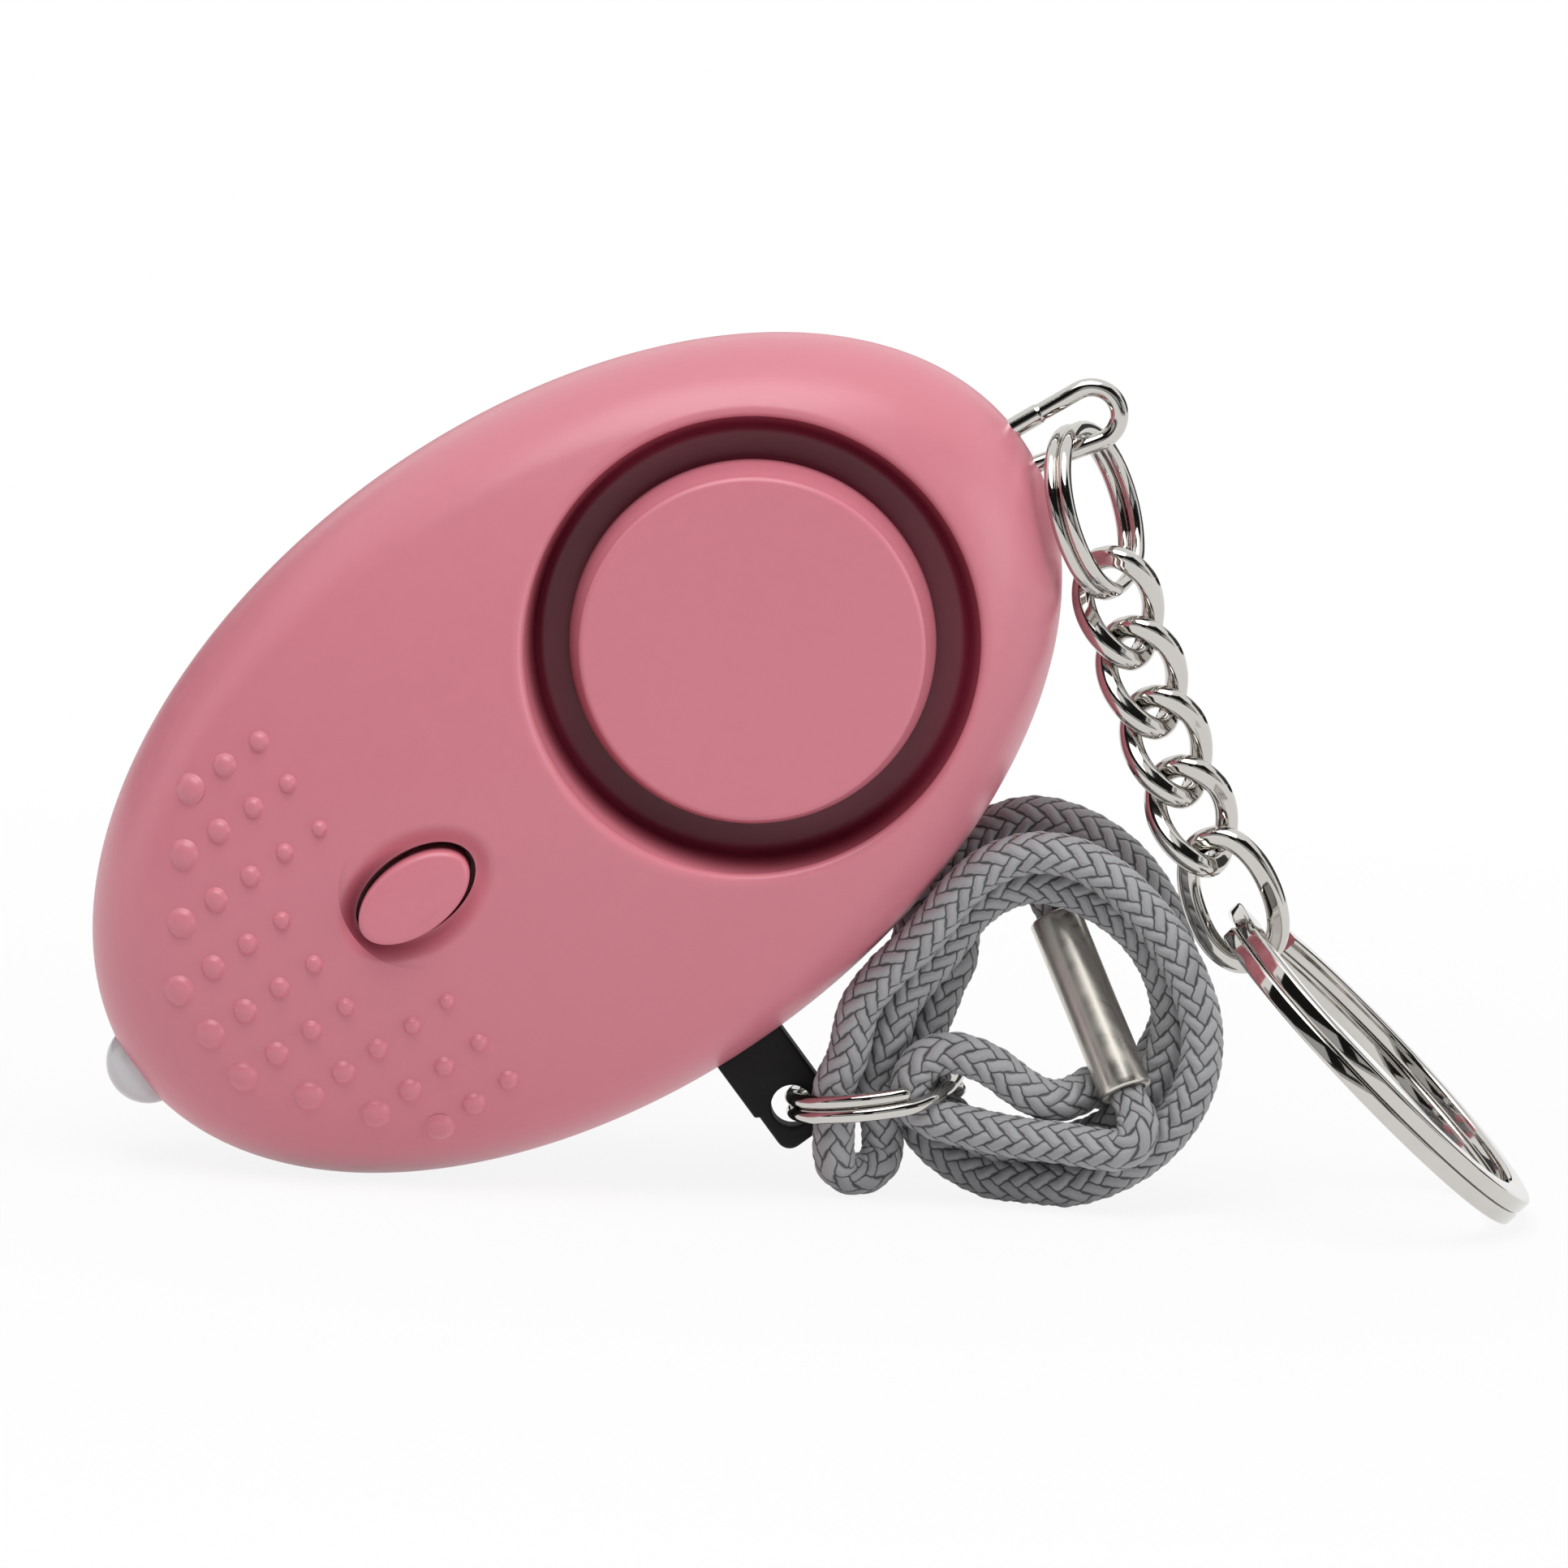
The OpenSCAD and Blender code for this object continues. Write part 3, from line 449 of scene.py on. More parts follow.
def raised(tree, height, strength, depth):
    """A bump node from a height; depth is in metres."""
    node = tree.nodes.new("ShaderNodeBump")
    node.inputs["Strength"].default_value = strength
    node.inputs["Distance"].default_value = depth
    tree.links.new(height, node.inputs["Height"])
    return node.outputs["Normal"]


def shade_of(colour, factor):
    """A colour made lighter or darker, kept within 0 and 1."""
    return tuple(min(1.0, c * factor) for c in colour)


def start(name, **values):
    """A new material with its Principled shader set; returns the material, its tree and the shader."""
    mat = bpy.data.materials.new(name)
    mat.use_nodes = True
    shader = mat.node_tree.nodes["Principled BSDF"]
    for label, value in values.items():
        shader.inputs[label.replace("_", " ")].default_value = value
    return mat, mat.node_tree, shader


def moulded(name, colour, rough=0.4, grain=5200.0, bump=0.16, depth=2.5e-5, painted_shades=(), **values):
    """Satin moulded plastic: fine grain, slow changes of tone, rubbed spots that shine a little more, and painted
    shade: the colour is darkened deep in gaps, where shade falls."""
    mat, tree, shader = start(name, **values)
    skin, worn = use(tree, "Moulded Grain", Grain=grain), use(tree, "Handling", Size=1500.0)
    tone = tint(tree, skin.outputs["Mottle"], shade_of(colour, 0.95), shade_of(colour, 1.05))
    # painted shade: the colour is mixed towards a dark share of itself where each mask is on
    for gap in painted_shades:
        node = tree.nodes.new("ShaderNodeMix")
        node.data_type = "RGBA"
        tree.links.new(tone, node.inputs["A"])
        node.inputs["B"].default_value = (*(c * share for c, share in zip(colour, PAINTED_SHADE_SHARE)), 1)
        tree.links.new(use(tree, "Painted Gap Shade", **gap).outputs["Mask"], node.inputs["Factor"])
        tone = node.outputs["Result"]
    tree.links.new(tone, shader.inputs["Base Color"])
    gloss = minus(tree, span(tree, skin.outputs["Height"], 0.4, 1.0, rough - 0.05, rough + 0.07),
                  times(tree, worn.outputs["Mask"], 0.05))
    tree.links.new(gloss, shader.inputs["Roughness"])
    tree.links.new(raised(tree, skin.outputs["Height"], bump, depth), shader.inputs["Normal"])
    return mat


def plated(name, colour, rough, along_scale=260.0, across=5200.0, bump=0.012):
    """Plated or brushed metal: streaks of polish, a slow haze, and small rubbed spots."""
    mat, tree, shader = start(name, Metallic=1.0)
    marks, worn = use(tree, "Polish Marks", Along=along_scale, Across=across), use(tree, "Handling", Size=2600.0)
    tone = tint(tree, marks.outputs["Haze"], shade_of(colour, 0.93), shade_of(colour, 1.04))
    tree.links.new(tone, shader.inputs["Base Color"])
    gloss = added(tree, span(tree, marks.outputs["Streak"], 0.3, 0.7, rough * 0.6, rough * 1.5),
                  times(tree, worn.outputs["Mask"], rough * 0.3))
    tree.links.new(gloss, shader.inputs["Roughness"])
    tree.links.new(raised(tree, marks.outputs["Streak"], bump, 1e-5), shader.inputs["Normal"])
    return mat


def stitches(tree, pitch):
    """The braid worked out from the cord's own map (turn round, share of its length): eight columns that sway and lean
    in turn left and right; gives the millimetres to the nearest seam, the place along a stitch, and a tone for each."""
    chart = tree.nodes.new("ShaderNodeUVMap")
    chart.uv_map = "cord run"
    place = tree.nodes.new("ShaderNodeSeparateXYZ")
    tree.links.new(chart.outputs[0], place.inputs[0])
    run = times(tree, place.outputs["Y"], pitch)
    sway = times(tree, maths(tree, "SINE", times(tree, run, 2 * math.pi), 0.0), SWAY)
    x = minus(tree, times(tree, place.outputs["X"], COLUMNS), sway)
    across, column = maths(tree, "FRACT", x, 0.0), maths(tree, "FLOOR", x, 0.0)
    odd = maths(tree, "FLOORED_MODULO", column, 2.0)
    lean = minus(tree, 1.0, times(tree, odd, 2.0))
    slant = times(tree, times(tree, lean, LEAN), minus(tree, across, 0.5))
    phase = added(tree, added(tree, run, slant), times(tree, odd, 0.5))
    inside = maths(tree, "FRACT", phase, 0.0)
    beside = times(tree, maths(tree, "PINGPONG", across, 0.5), 0.95)
    ends = times(tree, maths(tree, "PINGPONG", inside, 0.5), 1.05)
    pair = tree.nodes.new("ShaderNodeCombineXYZ")
    tree.links.new(maths(tree, "FLOORED_MODULO", column, COLUMNS), pair.inputs["X"])
    tree.links.new(maths(tree, "FLOOR", phase, 0.0), pair.inputs["Y"])
    tone = tree.nodes.new("ShaderNodeTexWhiteNoise")
    tree.links.new(pair.outputs[0], tone.inputs["Vector"])
    return maths(tree, "MINIMUM", beside, ends), across, tone.outputs["Value"]


def braided(name, colour, pitch):
    """Cord yarn: painted shade darkens the thin seams between stitches and each stitch crown is painted lighter;
    fine fibres along each stitch, and a soft sheen.
    """
    mat, tree, shader = start(name, Sheen_Weight=0.25, Sheen_Roughness=0.5)
    seam, across, tone = stitches(tree, pitch)
    fuzz = use(tree, "Moulded Grain", Grain=9000.0)
    lines = maths(tree, "SINE", times(tree, across, 2 * math.pi * 5), 0.0)
    # painted shade and light: near black in the seams between stitches, lighter on the stitch crowns
    level = added(tree, span(tree, seam, 0.02, 0.11, 0.0, 0.8), times(tree, tone, 0.14))
    level = added(tree, level, times(tree, lines, 0.03))
    level = added(tree, level, span(tree, fuzz.outputs["Height"], 0.4, 1.0, -0.06, 0.08))
    tree.links.new(tint(tree, level, shade_of(colour, 0.07), shade_of(colour, 1.12)), shader.inputs["Base Color"])
    tree.links.new(span(tree, fuzz.outputs["Height"], 0.4, 1.0, 0.62, 0.86), shader.inputs["Roughness"])
    height = added(tree, span(tree, seam, 0.0, 0.3, 0.0, 3.0), times(tree, lines, 0.15))
    height = added(tree, height, times(tree, fuzz.outputs["Height"], 0.6))
    tree.links.new(raised(tree, height, 0.5, 4e-5), shader.inputs["Normal"])
    return mat


def resin(name, colour):
    """Milky clear resin: partly see-through, with a fine change of gloss."""
    mat, tree, shader = start(name, Base_Color=(*colour, 1), Roughness=0.16, Transmission_Weight=0.3, IOR=1.46)
    skin = use(tree, "Moulded Grain", Grain=2600.0)
    tree.links.new(span(tree, skin.outputs["Height"], 0.4, 1.0, 0.1, 0.2), shader.inputs["Roughness"])
    return mat


FINISH = {}


def make_finishes(colours, sizes):
    """Every finish of the alarm, by the name of its material slot."""
    make_groups()
    pitch = evenly(spline(cord_points()[0], 12), RINGS)[1] / sizes.stitch
    pink, rose, nickel = tuple(colours.shell), tuple(colours.button), tuple(colours.nickel)
    steel = srgb(196, 196, 198)
    sound, press = (placed(u, 0.0, 0.0) * MM for u in (RECESS, BUTTON_U))
    # painted shade in the recess round the sound cap, in the dish and hole of the button, and on the cap's lower wall
    groove_shade = dict(X=sound[0], Z=sound[2], Reach=0.01352, Top=0.0098, Foot=0.006)
    well = dict(X=press[0], Z=press[2], Reach=0.0046, Top=0.0103, Foot=0.0096)
    cap_skirt_shade = dict(X=sound[0], Z=sound[2], Reach=0.0136, Top=0.0067, Foot=0.0062)
    FINISH.update(
        pink_shell=moulded("pink satin shell", pink, 0.36, painted_shades=(groove_shade, well), Coat_Weight=0.06, Coat_Roughness=0.22),
        pink_button=moulded("pink satin button", rose, 0.38, painted_shades=(cap_skirt_shade,), Coat_Weight=0.1, Coat_Roughness=0.25),
        screw_steel=plated("zinc screw", srgb(150, 150, 152), 0.28),
        black_plastic=moulded("black matte tab", tuple(colours.tab), 0.6, 7000.0, 0.3, Specular_IOR_Level=0.25),
        green_board=moulded("green board lacquer", srgb(28, 92, 56), 0.3),
        blue_sleeve=moulded("blue capacitor sleeve", srgb(48, 54, 104), 0.35),
        ferrite=moulded("dark ferrite", srgb(62, 62, 64), 0.6),
        copper=plated("enamelled copper", srgb(196, 120, 70), 0.3),
        tinned_wire=plated("tinned wire", srgb(196, 198, 200), 0.22),
        brass_sheet=plated("brass sheet", srgb(206, 176, 100), 0.2),
        white_ceramic=moulded("fired ceramic", srgb(222, 218, 206), 0.55),
        black_foam=moulded("black foam", srgb(42, 42, 42), 0.85, 2400.0, 0.6),
        red_wire=moulded("red wire sleeve", srgb(176, 36, 36), 0.42),
        grey_plastic=moulded("grey tray plastic", srgb(66, 66, 70), 0.45),
        cell_steel=plated("plated cell can", steel, 0.16),
        nickel_wire=plated("polished nickel wire", nickel, 0.05),
        nickel_link=plated("polished nickel link", nickel, 0.06),
        grey_cord=braided("grey braid", tuple(colours.cord), pitch),
        ferrule_steel=plated("drawn steel sleeve", srgb(214, 209, 200), 0.26, 60.0, 900.0, 0.002),
        clear_lens=resin("clear lamp resin", (0.8, 0.82, 0.84)),
    )


def blank(name):
    """A new material with an empty tree; returns both."""
    mat = bpy.data.materials.new(name)
    mat.use_nodes = True
    mat.node_tree.nodes.clear()
    return mat, mat.node_tree


def seen_rays(tree):
    """1 for rays from the camera, off metal and through glass, and 0 for all others."""
    path = tree.nodes.new("ShaderNodeLightPath")
    shiny = maths(tree, "MAXIMUM", path.outputs["Is Glossy Ray"], path.outputs["Is Transmission Ray"])
    return maths(tree, "MAXIMUM", path.outputs["Is Camera Ray"], shiny)


# ---------------------------------------------------------------- operators


class ALARM_OT_stage(bpy.types.Operator):
    """Camera at the photograph's view, softboxes, floor, dark cards and world"""

    bl_idname = "alarm.stage"
    bl_label = "Stage"

    def execute(self, context):
        scene, look = context.scene, context.scene.alarm_stage
        aim = np.array([BODY_X + 12.4, 0.0, 24.45]) * MM
        rise, roll = look.rise, look.roll
        away = np.array([0, -math.cos(rise), math.sin(rise)])
        flat, tall = np.array([1.0, 0, 0]), np.array([0, math.sin(rise), math.cos(rise)])
        right = flat * math.cos(roll) + tall * math.sin(roll)
        up = -flat * math.sin(roll) + tall * math.cos(roll)
        camera = bpy.data.objects.new("camera", bpy.data.cameras.new("camera"))
        camera.data.sensor_width = 36.0
        camera.data.lens = 36.0 * look.reach / look.width
        camera.data.clip_start, camera.data.clip_end = 0.01, 20.0
        turn = Matrix(np.stack([right, up, away], 1).tolist())
        camera.matrix_world = Matrix.Translation((aim + away * look.reach).tolist()) @ turn.to_4x4()
        scene.collection.objects.link(camera)
        scene.camera = camera
        self.lamp(scene, "top softbox", (-0.08, -0.23, 0.58), aim, 0.5, look.key)
        self.lamp(scene, "side fill", (0.62, -0.3, 0.2), aim, 0.4, look.fill)
        self.floor()
        self.cards()
        self.world(scene)
        scene.view_settings.view_transform = "Standard"
        return {"FINISHED"}

    def lamp(self, scene, name, at, aim, size, power):
        """A square area lamp turned to the aim, unseen by the camera."""
        data = bpy.data.lights.new(name, "AREA")
        data.size, data.energy = size, power
        lamp = bpy.data.objects.new(name, data)
        back = unit(np.array(at) - aim)
        side = unit(np.cross(UP if abs(back[2]) < 0.95 else BACK, back))
        turn = Matrix(np.stack([side, np.cross(back, side), back], 1).tolist())
        lamp.matrix_world = Matrix.Translation(at) @ turn.to_4x4()
        lamp.visible_camera = False
        scene.collection.objects.link(lamp)

    def floor(self):
        """A wide pale disc under the object. Seen directly it lets the white room through, so that a strap pulled below
        the table plane still shows, and it keeps a light shadow."""
        mat, tree = blank("pale floor")
        matte, clear = tree.nodes.new("ShaderNodeBsdfDiffuse"), tree.nodes.new("ShaderNodeBsdfTransparent")
        matte.inputs["Color"].default_value = (0.86, 0.86, 0.86, 1)
        blend, out = tree.nodes.new("ShaderNodeMixShader"), tree.nodes.new("ShaderNodeOutputMaterial")
        away = tree.nodes.new("ShaderNodeVectorMath")
        away.operation = "LENGTH"
        tree.links.new(here(tree), away.inputs[0])
        share = span(tree, away.outputs["Value"], 0.05, 0.16, 0.88, 1.0)
        tree.links.new(times(tree, seen_rays(tree), share), blend.inputs[0])
        tree.links.new(matte.outputs[0], blend.inputs[1])
        tree.links.new(clear.outputs[0], blend.inputs[2])
        tree.links.new(blend.outputs[0], out.inputs["Surface"])
        rings = turned([(r, 0.0) for r in (1.0, 200.0, 900.0, 4000.0)], 96, np.zeros(3), UP)
        disc = build("floor", [band(rings[:, ::-1]), capped(rings[:1, ::-1])], mat)

    def cards(self):
        """Curved cards in front, unseen by the camera: a grey one and dark strips for reflections, so that bright metal
        has its dark lines, and one that keeps the front light low for matte surfaces."""
        # name, distance, low and high edge in mm, first and last angle, grey level
        strips = (("high", 440, 185, 620, -165, -15, 0.012), ("low", 450, 30, 62, -165, -15, 0.03),
                  ("back", 440, 35, 90, 20, 160, 0.02), ("far right", 430, 90, 260, 15, 60, 0.06),
                  ("far left", 430, 90, 260, 120, 165, 0.06), ("middle", 450, 60, 190, -110, -97, 0.012),
                  ("left", 430, 60, 190, -172, -155, 0.02), ("right", 430, 60, 190, -54, -38, 0.02),
                  ("grey", 600, -5, 430, -172, -8, 0.45), ("shade", 620, -5, 430, -165, -15, 0.1))
        for place, reach, low, high, first, last, level in strips:
            name, shiny = "card " + place, place != "shade"
            mat, tree = blank(name)
            glow, out = tree.nodes.new("ShaderNodeEmission"), tree.nodes.new("ShaderNodeOutputMaterial")
            glow.inputs["Color"].default_value = (level, level, level, 1)
            tree.links.new(glow.outputs[0], out.inputs["Surface"])
            a = np.radians(np.linspace(first, last, 60))[None, :]
            h = np.array([low, high])[:, None]
            grid = np.stack([reach * np.cos(a) + 0 * h, reach * np.sin(a) + 0 * h, h + 0 * a], -1)
            card = build(name, [band(grid, wrap=False)], mat)
            card.visible_glossy, card.visible_diffuse = shiny, not shiny
            card.visible_camera = card.visible_shadow = card.visible_transmission = False

    def world(self, scene):
        """White where the camera, metal or glass sees it, and a soft even sky for matte surfaces."""
        world = bpy.data.worlds.new("white room")
        world.use_nodes = True
        tree = world.node_tree
        sky = tree.nodes["Background"]
        tree.links.new(span(tree, seen_rays(tree), 0.0, 1.0, 0.45, 1.0), sky.inputs["Strength"])
        sky.inputs["Color"].default_value = (1, 1, 1, 1)
        scene.world = world


def lookup(t, table):
    """Straight-line table value, averaged over 20 degrees to each side with weights 1, 2, 1."""
    x, y = np.array(table, float).T
    return (np.interp(t - 20, x, y) + 2 * np.interp(t, x, y) + np.interp(t + 20, x, y)) / 4


def cord_points():
    """Route of the wrist cord from the ferrule's upper end round the coil, the fold and the lead to its lower end."""
    low, up = np.array([6.2, -3.4, -4.2]), np.array([1.5, 1.6, 5.4])
    axis = unit(up - low)
    # winding angle against radius or depth, for the inner and the outer turns
    inner_r = [(420, 6.2), (480, 5.4), (510, 4.8), (540, 4.9), (570, 6.9), (590, 8.05), (615, 8), (640, 8.3),
               (680, 8.9), (720, 8.8), (780, 7.7), (810, 8), (840, 6.9), (865, 5.7), (880, 6), (895, 7.5),
               (910, 8.5), (940, 8.8)]
    inner_y = [(420, 3), (480, 2.6), (510, 2.1), (540, 1.3), (580, 0.3), (640, -0.4), (680, -0.3), (720, -0.2),
               (780, -0.5), (810, -0.9), (840, -1), (870, -1), (900, -1), (940, -0.6)]
    outer_r = [(270, 6.6), (330, 8.2), (400, 9.8), (450, 11.2), (470, 10.4), (490, 8.8), (520, 7.1), (540, 7.2),
               (580, 9.2), (600, 10.1), (620, 10.4), (640, 10.55), (670, 11), (700, 11.1), (720, 10.6), (740, 9.5),
               (765, 9.4), (785, 9.8), (815, 10.3), (838, 8.6), (862, 7.2), (877, 7.6), (890, 8.9),
               (905, 11), (940, 11.5)]
    outer_y = [(270, 2.6), (330, 3.4), (400, 4.6), (450, 5.2), (500, 4.9), (540, 3.3), (590, 1.9), (615, 0.3),
               (645, -2.1), (690, -2.6), (770, -2.6), (810, -2.9), (840, -3), (870, -3), (890, -2.9), (905, -2.5),
               (940, -2.3)]

    def wound(t, radii, depths):
        r = lookup(t, radii)
        return np.stack([r * np.cos(np.radians(t)), lookup(t, depths), r * np.sin(np.radians(t))], -1)

    k, fold_r = np.arange(5), 1.45
    a = np.radians(45 * k)
    fold = np.stack([-9.6 + fold_r * np.cos(a), 0.2 - 2.4 * k / 4, -8.8 - fold_r * np.sin(a)], -1)
    return np.vstack([
        up, up + axis * 1.05, up + axis * 2.1, (-0.4, 3, 8), (-1.7, 3.3, 7.9), (-2.9, 3.3, 7.2), (-3.7, 3.2, 6.1),
        (-4.1, 2.8, 4.6), wound(np.arange(510, 916, 15), inner_r, inner_y), (-8.9, -0.4, -4.4), (-8.4, 0, -6.5), fold,
        (-11.1, -2.4, -6.7), (-11.2, -2.4, -4.8), wound(np.arange(915, 329, -15), outer_r, outer_y),
        (5.7, 2.5, -5), (4.6, 1.2, -4.7), (4, -0.3, -4.5), (3.2, -1.5, -4.8), (2.2, -2.4, -5), (1, -2.9, -4.8),
        (-0.3, -3, -4.1), (-1.6, -3, -3.2), (-3, -2.9, -2.6), (-4.4, -2.7, -2.4), (-5.8, -2.6, -2.9),
        (-6.6, -2.5, -4.2), (-6.3, -2.5, -5.6), (-5, -2.8, -6.4), (-3.2, -3.2, -6.7), (-1.4, -3.5, -7),
        (0.6, -3.8, -7.2), (2.6, -4.1, -7.3), (4.2, -4.4, -7.45), (5.58, -4.6, -7.5), (6.45, -4.75, -7.2),
        (6.93, -4.6, -6.45), low - axis * 1.6, low - axis * 0.8, low]) + COIL_MID, low + COIL_MID, up + COIL_MID


class ALARM_OT_cord(bpy.types.Operator):
    """Braided wrist cord and the steel ferrule that closes it"""

    bl_idname = "alarm.cord"
    bl_label = "Wrist Cord"

    def execute(self, context):
        sizes = context.scene.alarm_sizes
        points, low, up = cord_points()
        path, length = evenly(spline(points, 12), RINGS)
        cord = self.braid(path, length, sizes)
        ferrule = self.ferrule(low, up)
        hand(ferrule, "wrist_strap", "ferrule_steel", "cord_ferrule")
        hand(cord, "wrist_strap", "grey_cord", "wrist_cord_coil", "wrist_cord_lead")
        return {"FINISHED"}

    def braid(self, path, length, sizes):
        """Tube whose radius swells over slanted stitches: eight columns round the cord lean in turn left and
        right and sway together, and each stitch is a rounded bar, half a stitch on from those beside it. The soft
        cord narrows to 0.95 of the bend's radius in tight bends, and where the ferrule grips it."""
        sides = 64
        step = length / (len(path) - 1)
        bend = np.linalg.norm(np.gradient(np.gradient(path, axis=0), axis=0), axis=1) / step**2
        ease, least, grip, entry, near = 0.95, 0.95, 1.04, 2.6, 15
        thick = np.minimum(sizes.cord / 2, ease / np.maximum(averaged(bend, near), 1e-3))
        thick = np.maximum(averaged(thick, near), least)
        run = np.linspace(0, length, len(path))
        close = smooth(np.minimum(run, length - run) / entry)
        thick = (grip + (thick - grip) * close)[:, None]
        path = path.copy()
        path[:, 2] = np.maximum(path[:, 2], thick[:, 0] + 0.04)
        tangent = along(path)
        side = unit(np.cross(tangent, BACK))
        other = np.cross(tangent, side)
        turn, run = np.linspace(0, 1, sides, endpoint=False)[None, :], run[:, None]
        sway = turn * COLUMNS - SWAY * np.sin(2 * np.pi * run / sizes.stitch)
        column = np.floor(sway)
        across = sway - column
        odd = column % 2
        phase = run / sizes.stitch + (1 - 2 * odd) * LEAN * (across - 0.5) + 0.5 * odd
        inside = phase - np.floor(phase)
        crown = np.sin(np.pi * inside) ** 0.5 * np.sin(np.pi * (0.03 + 0.94 * across)) ** 0.45
        radius = thick + sizes.relief * (crown - 0.72)
        ring = np.stack([np.cos(2 * np.pi * turn) * radius, np.sin(2 * np.pi * turn) * radius], -1)
        rings = carried(path, ring, side, other)
        piece = build("wrist_cord", [capped(rings)], FINISH["grey_cord"], 180)
        self.chart(piece.data, sides, len(path))
        return piece

    def chart(self, mesh, sides, rows):
        """Map of the cord: turn round it and share of its length, with the last column running up to a full turn."""
        if len(mesh.vertices) != sides * rows + 2:
            raise RuntimeError("the cord lost points: %d" % len(mesh.vertices))
        corner, total = np.empty(len(mesh.loops), np.int64), np.empty(len(mesh.polygons), np.int64)
        mesh.loops.foreach_get("vertex_index", corner)
        mesh.polygons.foreach_get("loop_total", total)
        face = np.arange(len(total)).repeat(total)
        turn = (corner % sides).astype(float)
        last = np.zeros(len(total), bool)
        np.logical_or.at(last, face[turn == sides - 1], True)
        turn[(turn == 0) & last[face]] = sides
        share = np.minimum(corner // sides, rows - 1) / (rows - 1)
        mesh.uv_layers.new(name="cord run").data.foreach_set("uv", np.stack([turn / sides, share], -1).ravel())

    def ferrule(self, low, up):
        """Sleeve turned about its axis: an outer wall with rolled ends, an end face, and a bore that holds the cord."""
        long, r, bore, roll = np.linalg.norm(up - low), 1.6, 1.12, 0.22
        a = np.linspace(0, np.pi / 2, 7)
        end = np.stack([r - roll + roll * np.sin(a), roll - roll * np.cos(a)], -1)
        x = np.linspace(0, 1, 15)
        body = np.stack([r - 0.02 * np.sin(np.pi * x), roll + 0.3 + (long - 2 * roll - 0.6) * x], -1)
        top = end[::-1] * [1, -1] + [0, long]
        hole = np.array([(bore + 0.08, long), (bore, long - 0.12), (bore, long - 1.6), (0.4, long - 1.7), (0.4, 1.7),
                         (bore, 1.6), (bore, 0.12), (bore + 0.08, 0.0)])
        rings = turned(np.vstack([end, body, top, hole]), 64, low, up - low)
        return build("ferrule_sleeve", [band(rings, loop=True)], FINISH["ferrule_steel"], 50)


